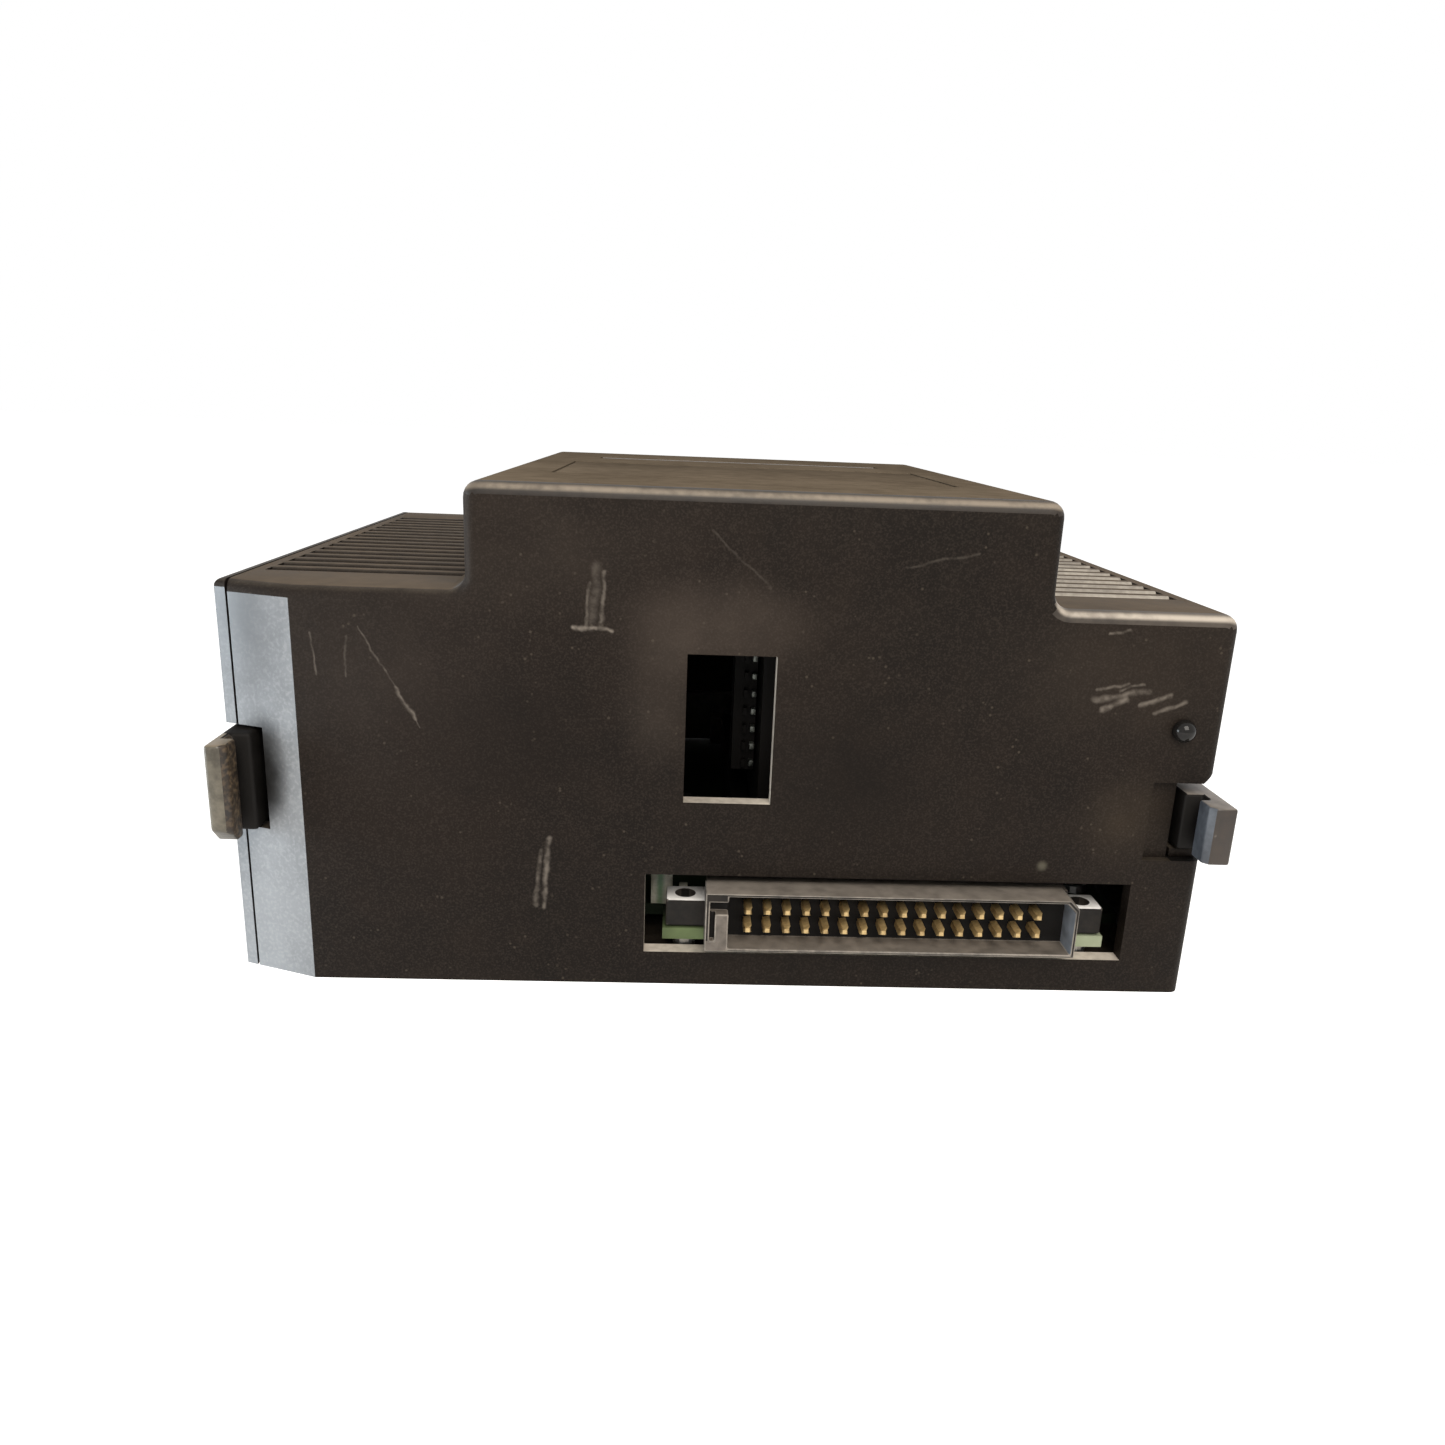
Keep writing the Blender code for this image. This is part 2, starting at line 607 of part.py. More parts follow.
def make_case_shell():
    shell = prism("case_shell", stepped_outline(0.0, X_SEAM, 0.0), "XZ", Y_FRONT, Y_FAR, CASE_PLASTIC)
    slice_facet(shell)

    def on_end_rim(edge):
        ends = [vertex.co for vertex in edge.verts]
        if any(point.z < TINY for point in ends):
            return False
        if all(abs(point.x - X_SEAM) < TINY for point in ends):
            return False
        if all(abs(point.y) > CASE_DEPTH / 2 - TINY for point in ends):
            return True
        level = all(abs(point.z - SHOULDER_HEIGHT) < TINY for point in ends)
        return level and all(point.x < X_LEFT + FACET_RUN + TINY for point in ends)

    round_edges(shell, EDGE_ROUND, on_end_rim)
    cavity = prism(
        "shell_cavity",
        stepped_outline(WALL, X_SEAM - OVERRUN, -OVERRUN),
        "XZ",
        Y_FRONT + WALL,
        Y_FAR - WALL,
    )
    slice_facet(cavity, WALL)
    boolean(shell, cavity)
    for index, (x, y) in enumerate(boss_places()):
        half = BOSS_SIZE / 2
        side = math.copysign(1.0, y)
        y_low, y_high = ordered(y - side * half, y + side * (half + WALL / 2))
        x_high = x + half + (WALL / 2 if x > 0 else 0.0)
        low = (x - half, y_low, BASE_THICKNESS + CLEARANCE)
        tool = box(f"base_boss_{index}", low, (x_high, y_high, BASE_THICKNESS + CLEARANCE + BOSS_HEIGHT))
        boolean(shell, tool, "UNION")
        bore = cylinder(
            f"base_bore_{index}",
            SCREW_RADIUS + SCREW_CLEARANCE,
            (x, y, 0.0),
            (x, y, BASE_THICKNESS + SCREW_LENGTH + CLEARANCE),
            sides=16,
        )
        boolean(shell, bore)
    for index, (y, z) in enumerate(cover_screw_places()):
        half = BOSS_SIZE / 2
        low = (X_SEAM, y - half, z - half)
        tool = box(f"cover_boss_{index}", low, (X_SEAM + BOSS_SIZE, y + half, z + half + WALL / 2))
        boolean(shell, tool, "UNION")
        end = (X_SEAM + SCREW_LENGTH - BASE_THICKNESS, y, z)
        start = (X_SEAM - OVERRUN, y, z)
        bore = cylinder(f"cover_bore_{index}", COVER_SCREW_RADIUS + SCREW_CLEARANCE, start, end, sides=16)
        boolean(shell, bore)
    add_latch_seats(shell, 1)
    boolean(shell, vent_slots())
    boolean(shell, front_openings())
    boolean(shell, latch_scoop())
    boolean(shell, far_cutout())
    boolean(shell, catch_notch("right_catch", 1))
    boolean(shell, catch_notch("left_catch", -1))
    boolean(shell, relief_chamfer())
    boolean(shell, terminal_gap("supply_gap", 1, SUPPLY_Y, SUPPLY_WAYS))
    boolean(shell, top_recesses())
    boolean(shell, stud_hole("stud_bore", STUD_SHANK_RADIUS + CLEARANCE, Y_FRONT))
    boolean(shell, stud_hole("stud_socket", STUD_RADIUS + CLEARANCE, Y_FAR))


def right_slot_inside():
    return latch_sizes(1)["stem_inner"] - CLEARANCE - LATCH_NOTCH_CUT / 2


# Shallow hollow in the mating face beside the right latch
def latch_scoop():
    sizes = latch_sizes(1)
    x_pair = (right_slot_inside() - SCOOP_WIDTH, right_slot_inside() + CLEARANCE)
    y_pair = (Y_FRONT - OVERRUN, Y_FRONT + SCOOP_DEPTH)
    return x_box("latch_scoop", x_pair, y_pair, (sizes["slot_low"], sizes["slot_high"]))


# Window, bus cut-out and the ways for both latches through the mating face
def front_openings():
    front = Y_FRONT - OVERRUN
    behind = Y_FRONT + WALL + OVERRUN / 2
    window_x = WINDOW_SHIFT - WINDOW_WIDTH / 2
    cutout_x = BUS_X + CUTOUT_SHIFT - CUTOUT_WIDTH / 2
    right = latch_sizes(1)
    left = latch_sizes(-1)
    slot_inside = right_slot_inside()
    left_inside = left["stem_inner"] + CLEARANCE + LATCH_NOTCH_CUT / 2
    z_right = (right["slot_low"], right["slot_high"])
    z_left = (left["slot_low"], left["slot_high"])
    return boxes(
        "front_openings",
        [
            ((window_x, front, WINDOW_SILL), (window_x + WINDOW_WIDTH, behind, WINDOW_SILL + WINDOW_HEIGHT)),
            ((cutout_x, front, CUTOUT_SILL), (cutout_x + CUTOUT_WIDTH, behind, CUTOUT_SILL + CUTOUT_HEIGHT)),
            ((slot_inside, front, z_right[0]), (X_RIGHT + OVERRUN, right["slot_end"], z_right[1])),
            ((X_LEFT - OVERRUN, front, z_left[0]), (left_inside, behind + FACET_DEPTH, z_left[1])),
        ],
    )


# Socket cut-out in the far face
def far_cutout():
    cutout_x = BUS_X + CUTOUT_SHIFT - CUTOUT_WIDTH / 2
    low = (cutout_x, Y_FAR - WALL - OVERRUN / 2, CUTOUT_SILL)
    return box("far_cutout", low, (cutout_x + CUTOUT_WIDTH, Y_FAR + OVERRUN, CUTOUT_SILL + CUTOUT_HEIGHT))


# Round hole in one end wall, on the locating stud's axis
def stud_hole(name, radius, wall_y):
    reach = WALL + OVERRUN
    return cylinder(name, radius, (STUD_X, wall_y - reach, STUD_Z), (STUD_X, wall_y + reach, STUD_Z))


# Notch at a far corner for the next module's hook: a lip that it catches and room for its head behind the lip
def catch_notch(name, side):
    sizes = latch_sizes(side)
    lip_edge = sizes["inner"] + side * (LATCH_NOTCH_CUT - CLEARANCE)
    head_side = sizes["inner"] - side * CLEARANCE
    outside = side * (CASE_WIDTH / 2 + OVERRUN)
    beyond = Y_FAR + OVERRUN
    lip_y = Y_FAR - CATCH_LIP
    room_y = Y_FAR - LATCH_REACH - CATCH_ROOM
    corners = [
        (lip_edge, beyond, 0.0),
        (lip_edge, lip_y, 0.0),
        (head_side, lip_y, 0.0),
        (head_side, room_y, 0.0),
        (outside, room_y, 0.0),
        (outside, beyond, 0.0),
    ]
    return prism(name, corners, "XY", sizes["slot_low"], sizes["slot_high"])


# Slanted relief on the right wall's corner just above the right latch
def relief_chamfer():
    top = latch_sizes(1)["slot_high"]
    corners = [
        (X_RIGHT - RELIEF_CHAMFER, top - CLEARANCE, 0.0),
        (X_RIGHT + OVERRUN, top - CLEARANCE, 0.0),
        (X_RIGHT + OVERRUN, top + RELIEF_CHAMFER + OVERRUN, 0.0),
        (X_RIGHT, top + RELIEF_CHAMFER, 0.0),
        (X_RIGHT - RELIEF_CHAMFER, top, 0.0),
    ]
    return prism("relief_chamfer", corners, "XZ", Y_FRONT - OVERRUN, latch_sizes(1)["slot_end"])


def top_recesses():
    half_label = (LABEL_LENGTH / 2 + CLEARANCE, LABEL_WIDTH / 2 + CLEARANCE)
    half_guide = (GUIDE_LENGTH / 2 + CLEARANCE, GUIDE_WIDTH / 2 + CLEARANCE)
    label_floor = CASE_HEIGHT - TOP_RECESS - LABEL_THICKNESS - CLEARANCE
    above = CASE_HEIGHT + OVERRUN
    return boxes(
        "top_recesses",
        [
            (
                (RAISED_SHIFT - half_label[0], LABEL_Y - half_label[1], label_floor),
                (RAISED_SHIFT + half_label[0], LABEL_Y + half_label[1], above),
            ),
            (
                (RAISED_SHIFT - half_guide[0], GUIDE_Y - half_guide[1], CASE_HEIGHT - WALL - OVERRUN),
                (RAISED_SHIFT + half_guide[0], GUIDE_Y + half_guide[1], above),
            ),
        ],
    )


def make_end_cover():
    cover = box(
        "end_cover", (X_LEFT, Y_FRONT, 0.0), (X_LEFT + COVER_THICKNESS, Y_FAR, SHOULDER_HEIGHT), CASE_PLASTIC
    )
    slice_facet(cover)

    def on_outer_top(edge):
        level = all(abs(vertex.co.z - SHOULDER_HEIGHT) < TINY for vertex in edge.verts)
        inside = all(abs(vertex.co.x - X_LEFT - COVER_THICKNESS) < TINY for vertex in edge.verts)
        return level and not inside

    round_edges(cover, COVER_ROUND, on_outer_top)
    add_latch_seats(cover, -1)
    sizes = latch_sizes(-1)
    slot = x_box(
        "left_latch_slot",
        (X_LEFT - OVERRUN, sizes["stem_inner"] + 2 * CLEARANCE),
        (Y_FRONT - OVERRUN, sizes["slot_end"]),
        (sizes["slot_low"], sizes["slot_high"]),
    )
    boolean(cover, slot)
    boolean(cover, catch_notch("cover_catch", -1))
    boolean(cover, terminal_gap("field_gap", -1, FIELD_Y, FIELD_WAYS))
    for index, (y, z) in enumerate(cover_screw_places()):
        start = (X_LEFT - OVERRUN, y, z)
        end = (X_SEAM + OVERRUN, y, z)
        hole = cylinder(f"cover_hole_{index}", COVER_SCREW_RADIUS + SCREW_CLEARANCE, start, end, sides=16)
        boolean(cover, hole)


def standoff_places():
    left = X_LEFT + STANDOFF_INSET_LEFT + COVER_THICKNESS
    right = X_RIGHT - WALL - STANDOFF_INSET_RIGHT - STANDOFF_RADIUS
    y = BOARD_DEPTH / 2 - STANDOFF_INSET_Y
    return [(left, -y), (right, -y), (left, y), (right, y)]


def make_base_plate():
    fit = WALL + CLEARANCE
    base = box(
        "base_plate", (X_SEAM, Y_FRONT + fit, 0.0), (X_RIGHT - fit, Y_FAR - fit, BASE_THICKNESS), CASE_PLASTIC
    )
    slice_facet(base, fit)
    for index, (x, y) in enumerate(standoff_places()):
        foot = (x, y, BASE_THICKNESS / 2)
        head = (x, y, BOARD_BOTTOM - CLEARANCE)
        boolean(base, cylinder(f"standoff_{index}", STANDOFF_RADIUS, foot, head, sides=16), "UNION")
        bore = cylinder(
            f"standoff_bore_{index}",
            SCREW_RADIUS + SCREW_CLEARANCE,
            (x, y, BASE_THICKNESS),
            (x, y, BOARD_TOP + OVERRUN),
            sides=16,
        )
        boolean(base, bore)
    for index, (x, y) in enumerate(boss_places()):
        through = cylinder(
            f"base_hole_{index}", SCREW_RADIUS + SCREW_CLEARANCE, (x, y, -OVERRUN), (x, y, OVERRUN), sides=16
        )
        sink = cylinder(
            f"base_sink_{index}",
            SCREW_HEAD_RADIUS + SCREW_CLEARANCE,
            (x, y, -OVERRUN),
            (x, y, SCREW_HEAD_HEIGHT + CLEARANCE),
            sides=16,
        )
        boolean(base, through)
        boolean(base, sink)


# Lever with a hook at the mating face, an eye on its pivot pin and a tail that is pressed to open it
def make_latch(name, side, material):
    sizes = latch_sizes(side)
    tip = Y_FRONT - LATCH_REACH
    neck = Y_FRONT - CATCH_LIP - CLEARANCE
    shoulder = Y_FRONT + CLEARANCE
    tail = PIVOT_Y + LATCH_TAIL
    notch = sizes["inner"] + side * LATCH_NOTCH_CUT
    corners = [
        (sizes["outer"], tip, 0.0),
        (sizes["outer"], tail, 0.0),
        (sizes["stem_inner"], tail, 0.0),
        (sizes["stem_inner"], shoulder, 0.0),
        (notch, shoulder, 0.0),
        (notch, neck, 0.0),
        (sizes["inner"], neck, 0.0),
        (sizes["inner"], tip + LATCH_TIP_CHAMFER, 0.0),
        (sizes["inner"] + side * LATCH_TIP_CHAMFER, tip, 0.0),
    ]
    latch = prism(name, corners, "XY", sizes["low"], sizes["high"], material)
    pivot = Vector((sizes["pivot_x"], PIVOT_Y, 0.0))
    eye_low = (pivot.x, pivot.y, sizes["low"])
    eye_high = (pivot.x, pivot.y, sizes["high"])
    boolean(latch, cylinder(name + "_eye", EYE_RADIUS, eye_low, eye_high), "UNION")
    lift = Vector((0.0, 0.0, OVERRUN))
    boolean(
        latch,
        cylinder(
            name + "_eye_hole",
            PIVOT_RADIUS + PIVOT_CLEARANCE,
            Vector(eye_low) - lift,
            Vector(eye_high) + lift,
        ),
    )
    if side < 0:
        corner = Vector((CASE_WIDTH, LEFT_LATCH_HEEL, LEFT_LATCH_HEEL))
        heel = box(name + "_heel", -corner, corner)
        heel.location = (0.0, tip, sizes["low"])
        heel.rotation_euler = (math.radians(45), 0.0, 0.0)
        heel.scale = (1.0, math.sqrt(0.5), math.sqrt(0.5))
        boolean(latch, heel)
    latch.data.transform(Matrix.Translation(-pivot))
    latch.location = pivot


def make_pivot_pin(name, side):
    sizes = latch_sizes(side)
    low = sizes["slot_low"] - PAD_HEIGHT + 2 * CLEARANCE
    high = sizes["slot_high"] + PAD_HEIGHT - 2 * CLEARANCE
    cylinder(name, PIVOT_RADIUS, (sizes["pivot_x"], PIVOT_Y, low), (sizes["pivot_x"], PIVOT_Y, high), STEEL)


# Coil spring along X between its seat plate and the latch's tail
def make_spring(name, side):
    sizes = latch_sizes(side)
    middle = (sizes["low"] + sizes["high"]) / 2
    start = sizes["seat_x"] + side * (CLEARANCE + SPRING_WIRE / 2)
    travel = side * (SPRING_LENGTH - SPRING_WIRE)
    count = SPRING_TURNS * SPRING_POINTS_PER_TURN
    curve = bpy.data.curves.new(name, "CURVE")
    curve.dimensions = "3D"
    curve.bevel_depth = SPRING_WIRE / 2
    curve.bevel_resolution = 1
    curve.use_fill_caps = True
    spline = curve.splines.new("POLY")
    spline.points.add(count)
    for index in range(count + 1):
        angle = math.tau * index / SPRING_POINTS_PER_TURN
        y = PIVOT_Y + SPRING_SETBACK + SPRING_RADIUS * math.cos(angle)
        z = middle + SPRING_RADIUS * math.sin(angle)
        spline.points[index].co = (start + travel * index / count, y, z, 1.0)
    turn_gap = (SPRING_LENGTH - SPRING_WIRE) / SPRING_TURNS - SPRING_WIRE
    print(name, "gap between turns, mm:", round(turn_gap / MM, 2))
    made = bpy.data.objects.new(name, curve)
    parts.objects.link(made)
    curve.materials.append(STEEL)


def make_locating_stud():
    profile = [(0.0, STUD_HEIGHT)]
    for step in range(1, ROUND_STEPS + 1):
        angle = math.pi / 2 * step / ROUND_STEPS
        rise = CLEARANCE + (STUD_HEIGHT - CLEARANCE) * math.cos(angle)
        profile.append((STUD_RADIUS * math.sin(angle), rise))
    profile.append((STUD_SHANK_RADIUS, CLEARANCE))
    profile.append((STUD_SHANK_RADIUS, -WALL))
    profile.append((0.0, -WALL))
    turned("locating_stud", profile, (STUD_X, Y_FRONT, STUD_Z), (0, -1, 0), LATCH_PLASTIC, sides=20)


def tongue_reach():
    return (HEADER_LEFT - EAR_LENGTH - TONGUE_MARGIN, HEADER_RIGHT + EAR_LENGTH + TONGUE_MARGIN)


def make_main_board():
    tongue = tongue_reach()
    half_x, half_y = BOARD_WIDTH / 2, BOARD_DEPTH / 2
    corners = [
        (-half_x, -half_y, 0.0),
        (tongue[0], -half_y, 0.0),
        (tongue[0], TONGUE_EDGE, 0.0),
        (tongue[1], TONGUE_EDGE, 0.0),
        (tongue[1], -half_y, 0.0),
        (half_x, -half_y, 0.0),
        (half_x, half_y, 0.0),
        (tongue[1], half_y, 0.0),
        (tongue[1], -TONGUE_EDGE, 0.0),
        (tongue[0], -TONGUE_EDGE, 0.0),
        (tongue[0], half_y, 0.0),
        (-half_x, half_y, 0.0),
    ]
    board = prism("main_board", corners, "XY", BOARD_BOTTOM, BOARD_TOP, LAMINATE)
    for index, (x, y) in enumerate(standoff_places()):
        low = (x, y, BOARD_BOTTOM - OVERRUN)
        high = (x, y, BOARD_TOP + OVERRUN)
        boolean(board, cylinder(f"board_hole_{index}", SCREW_RADIUS + SCREW_CLEARANCE, low, high, sides=16))
    for index, x in enumerate(ear_places()):
        low = (x, ear_y(), BOARD_BOTTOM - OVERRUN)
        high = (x, ear_y(), BOARD_TOP + OVERRUN)
        boolean(board, cylinder(f"ear_board_hole_{index}", EAR_HOLE_RADIUS, low, high, sides=16))


def ear_places():
    return [HEADER_LEFT - EAR_LENGTH / 2, HEADER_RIGHT + EAR_LENGTH / 2]


def ear_y():
    return TONGUE_EDGE + EAR_DEPTH / 2


def pin_columns():
    first = BUS_X - PIN_PITCH * (PIN_COLUMNS - 1) / 2
    return [first + PIN_PITCH * index for index in range(PIN_COLUMNS)]


def pin_rows():
    return {"upper": BUS_Z + PIN_PITCH / 2, "lower": BUS_Z - PIN_PITCH / 2}


def pin_holes(name, size, y_low, y_high):
    corners = []
    half = size / 2
    for x in pin_columns():
        for z in pin_rows().values():
            corners.append(((x - half, y_low, z - half), (x + half, y_high, z + half)))
    return boxes(name, corners)


def header_body_end():
    return TONGUE_EDGE - CLEARANCE + HEADER_BODY_DEPTH


def make_bus_header():
    rim = Y_FRONT - HEADER_REACH
    back = TONGUE_EDGE - CLEARANCE
    low = BUS_Z - HEADER_HEIGHT / 2
    high = BUS_Z + HEADER_HEIGHT / 2
    shroud = [
        (HEADER_LEFT, low, 0.0),
        (HEADER_RIGHT, low, 0.0),
        (HEADER_RIGHT, high - HEADER_CHAMFER, 0.0),
        (HEADER_RIGHT - HEADER_CHAMFER, high, 0.0),
        (HEADER_LEFT, high, 0.0),
    ]
    header = prism("bus_header", shroud, "XZ", rim, back, HEADER_PLASTIC)
    foot = box(
        "header_foot",
        (HEADER_LEFT - EAR_LENGTH, TONGUE_EDGE, SEAT_Z),
        (HEADER_RIGHT + EAR_LENGTH, TONGUE_EDGE + EAR_DEPTH, SEAT_Z + EAR_HEIGHT),
    )
    body = box(
        "header_body",
        (HEADER_LEFT + HEADER_SKIN / 3, back - CLEARANCE, SEAT_Z + EAR_HEIGHT / 3),
        (HEADER_RIGHT - HEADER_SKIN / 3, header_body_end(), high - HEADER_SKIN),
    )
    boolean(header, body, "UNION")
    boolean(header, foot, "UNION")
    for index, x in enumerate(ear_places()):
        start = (x, ear_y(), SEAT_Z - OVERRUN)
        end = (x, ear_y(), SEAT_Z + EAR_HEIGHT + OVERRUN)
        boolean(header, cylinder(f"ear_hole_{index}", EAR_HOLE_RADIUS, start, end, sides=16))
    cavity = box(
        "header_cavity",
        (HEADER_LEFT + HEADER_THICK_END, rim - OVERRUN, low + HEADER_SKIN),
        (HEADER_RIGHT - HEADER_THIN_END, rim + HEADER_FLOOR, high - HEADER_SKIN - HEADER_CHAMFER / 3),
    )
    boolean(header, cavity)
    hole = PIN_SIZE + 2 * PIN_CLEARANCE
    boolean(header, pin_holes("header_pin_holes", hole, rim + HEADER_FLOOR / 2, header_body_end() + OVERRUN))


# One row of contacts: prongs on a common lead frame that drops to the board behind the insulator
def make_contact_row(name, row, direction, tip, lead_y):
    z = pin_rows()[row]
    half = PIN_SIZE / 2
    lead_half = LEAD_THICKNESS / 2
    columns = pin_columns()
    y_pair = ordered(lead_y - direction * lead_half, lead_y + direction * lead_half)
    edge = half + LEAD_MARGIN
    made = box(name, (columns[0] - edge, y_pair[0], SEAT_Z), (columns[-1] + edge, y_pair[1], z + edge), GOLD)
    for index, x in enumerate(columns):
        y_low, y_high = ordered(tip, lead_y)
        low = (x - half, y_low, z - half)
        boolean(made, box(f"{name}_{index}", low, (x + half, y_high, z + half)), "UNION")


# Socket for the next module's pins, on a back wall that closes the cut-out beside it
def make_bus_socket():
    face = Y_FAR - SOCKET_SETBACK
    half = SOCKET_LENGTH / 2
    high = BUS_Z + SOCKET_HEIGHT / 2
    socket = box(
        "bus_socket", (BUS_X - half, face - SOCKET_DEPTH, SEAT_Z), (BUS_X + half, face, high), HEADER_PLASTIC
    )
    back_y = Y_FAR - HEADER_REACH - CLEARANCE
    back_top = CUTOUT_SILL + CUTOUT_HEIGHT + SOCKET_BACK_RISE
    back = box(
        "socket_back",
        (BUS_X - half - SOCKET_BACK_REACH, back_y - SOCKET_BACK_THICKNESS, SEAT_Z),
        (BUS_X + half, back_y, back_top),
    )
    boolean(socket, back, "UNION")
    boolean(socket, pin_holes("socket_holes", SOCKET_HOLE, face - SOCKET_DEPTH - OVERRUN, face + OVERRUN))


def make_contacts():
    header_tip = Y_FRONT - HEADER_REACH + PIN_TIP_SETBACK
    header_lead = header_body_end() + CLEARANCE + LEAD_THICKNESS
    socket_tip = Y_FAR - SOCKET_SETBACK - CLEARANCE
    socket_lead = Y_FAR - SOCKET_SETBACK - SOCKET_DEPTH - CLEARANCE - LEAD_THICKNESS
    make_contact_row("bus_pins_lower", "lower", 1, header_tip, header_lead)
    make_contact_row("bus_pins_upper", "upper", 1, header_tip, header_lead + LEAD_STEP)
    make_contact_row("socket_contacts_lower", "lower", -1, socket_tip, socket_lead)
    make_contact_row("socket_contacts_upper", "upper", -1, socket_tip, socket_lead - LEAD_STEP)


# Block of screw terminals standing on the board's edge, its wire side in the wall's opening
def make_terminal(name, side, y, ways):
    face = side * (CASE_WIDTH / 2 - TERMINAL_RECESS)
    back = face - side * TERMINAL_DEPTH
    span = terminal_span(ways)
    y_pair = (y - span / 2, y + span / 2)
    block = x_box(name, (face, back), y_pair, (SEAT_Z, SEAT_Z + TERMINAL_HEIGHT), TERMINAL_PLASTIC)
    wire_z = SEAT_Z + WIRE_RISE
    screw_z = SEAT_Z + TERMINAL_SCREW_RISE
    for index in range(ways):
        way_y = y + (index - (ways - 1) / 2) * TERMINAL_PITCH
        half = WIRE_HOLE / 2
        mouth = (face + side * OVERRUN, face - side * WIRE_HOLE_DEPTH)
        hole_y = (way_y - half, way_y + half)
        boolean(block, x_box(f"{name}_wire_{index}", mouth, hole_y, (wire_z - half, wire_z + half)))
        seat = (face - side * TERMINAL_SCREW_DEPTH, way_y, screw_z)
        open_end = (face + side * OVERRUN, way_y, screw_z)
        well = cylinder(f"{name}_well_{index}", TERMINAL_SCREW_RADIUS + CLEARANCE, seat, open_end, sides=14)
        boolean(block, well)
        head_seat = (seat[0] + side * CLEARANCE, way_y, screw_z)
        head = TERMINAL_SCREW_DEPTH - 3 * CLEARANCE
        profile = [(0.0, head), (TERMINAL_SCREW_RADIUS, head), (TERMINAL_SCREW_RADIUS, 0.0), (0.0, 0.0)]
        way_screw = turned(f"{name}_screw_{index + 1}", profile, head_seat, (side, 0, 0), STEEL, sides=14)
        slot_width = TERMINAL_SCREW_RADIUS * DRIVE_WIDTH_SHARE
        slot = box(
            f"{name}_slot_{index}",
            (-TERMINAL_SCREW_RADIUS * 2, -slot_width / 2, head - slot_width),
            (TERMINAL_SCREW_RADIUS * 2, slot_width / 2, head + OVERRUN),
        )
        slot.parent = way_screw
        boolean(way_screw, slot)


def make_top_pieces():
    label_top = CASE_HEIGHT - TOP_RECESS
    box(
        "label_plate",
        (RAISED_SHIFT - LABEL_LENGTH / 2, LABEL_Y - LABEL_WIDTH / 2, label_top - LABEL_THICKNESS),
        (RAISED_SHIFT + LABEL_LENGTH / 2, LABEL_Y + LABEL_WIDTH / 2, label_top),
        LABEL_FILM,
    )
    flange_top = CASE_HEIGHT - WALL - CLEARANCE
    guide = box(
        "light_guide",
        (RAISED_SHIFT - GUIDE_LENGTH / 2, GUIDE_Y - GUIDE_WIDTH / 2, flange_top - GUIDE_FLANGE_HEIGHT / 2),
        (RAISED_SHIFT + GUIDE_LENGTH / 2, GUIDE_Y + GUIDE_WIDTH / 2, CASE_HEIGHT - TOP_RECESS),
        GUIDE_LENS,
    )
    flange_x = GUIDE_LENGTH / 2 + GUIDE_FLANGE
    flange_y = GUIDE_WIDTH / 2 + GUIDE_FLANGE
    flange = box(
        "guide_flange",
        (RAISED_SHIFT - flange_x, GUIDE_Y - flange_y, flange_top - GUIDE_FLANGE_HEIGHT),
        (RAISED_SHIFT + flange_x, GUIDE_Y + flange_y, flange_top),
    )
    boolean(guide, flange, "UNION")


def make_io_board():
    half = BOARD_THICKNESS / 2
    groove_floor = BUS_Z + SOCKET_HEIGHT / 2 + CLEARANCE
    middle = IO_BOARD_START + IO_BOARD_LENGTH / 2
    half_width = BOARD_SOCKET_WIDTH / 2
    half_length = BOARD_SOCKET_LENGTH / 2
    board_socket = box(
        "board_socket",
        (IO_BOARD_X - half_width, middle - half_length, SEAT_Z),
        (IO_BOARD_X + half_width, middle + half_length, groove_floor + BOARD_SOCKET_GRIP),
        CHIP_EPOXY,
    )
    groove = box(
        "board_groove",
        (IO_BOARD_X - half - CLEARANCE, IO_BOARD_START - OVERRUN, groove_floor),
        (IO_BOARD_X + half + CLEARANCE, IO_BOARD_START + IO_BOARD_LENGTH + OVERRUN, IO_BOARD_TOP),
    )
    boolean(board_socket, groove)
    box(
        "io_board",
        (IO_BOARD_X - half, IO_BOARD_START, groove_floor + CLEARANCE),
        (IO_BOARD_X + half, IO_BOARD_START + IO_BOARD_LENGTH, IO_BOARD_TOP),
        LAMINATE,
    )


# Two-row chip flat on the vertical board, its leads joined to its body
def make_io_chip():
    face = IO_BOARD_X - BOARD_THICKNESS / 2 - CLEARANCE
    top = face - CHIP_BODY_HEIGHT
    body_y = CHIP_LEAD_Y + CHIP_ROW_SPACING / 2
    half_z = CHIP_LEADS * PIN_PITCH / 2
    half_y = CHIP_BODY_WIDTH / 2
    low = (top, body_y - half_y, CHIP_Z - half_z)
    chip = box("io_chip", low, (face, body_y + half_y, CHIP_Z + half_z), CHIP_EPOXY)
    half_row = CHIP_ROW_SPACING / 2 + LEAD_THICKNESS / 2
    middle = (top + face) / 2
    for index in range(CHIP_LEADS):
        z = CHIP_Z + (index - (CHIP_LEADS - 1) / 2) * PIN_PITCH
        low = (middle - LEAD_THICKNESS / 2, body_y - half_row, z - CHIP_LEAD_WIDTH / 2)
        high = (middle + LEAD_THICKNESS / 2, body_y + half_row, z + CHIP_LEAD_WIDTH / 2)
        boolean(chip, box(f"chip_lead_{index}", low, high), "UNION")


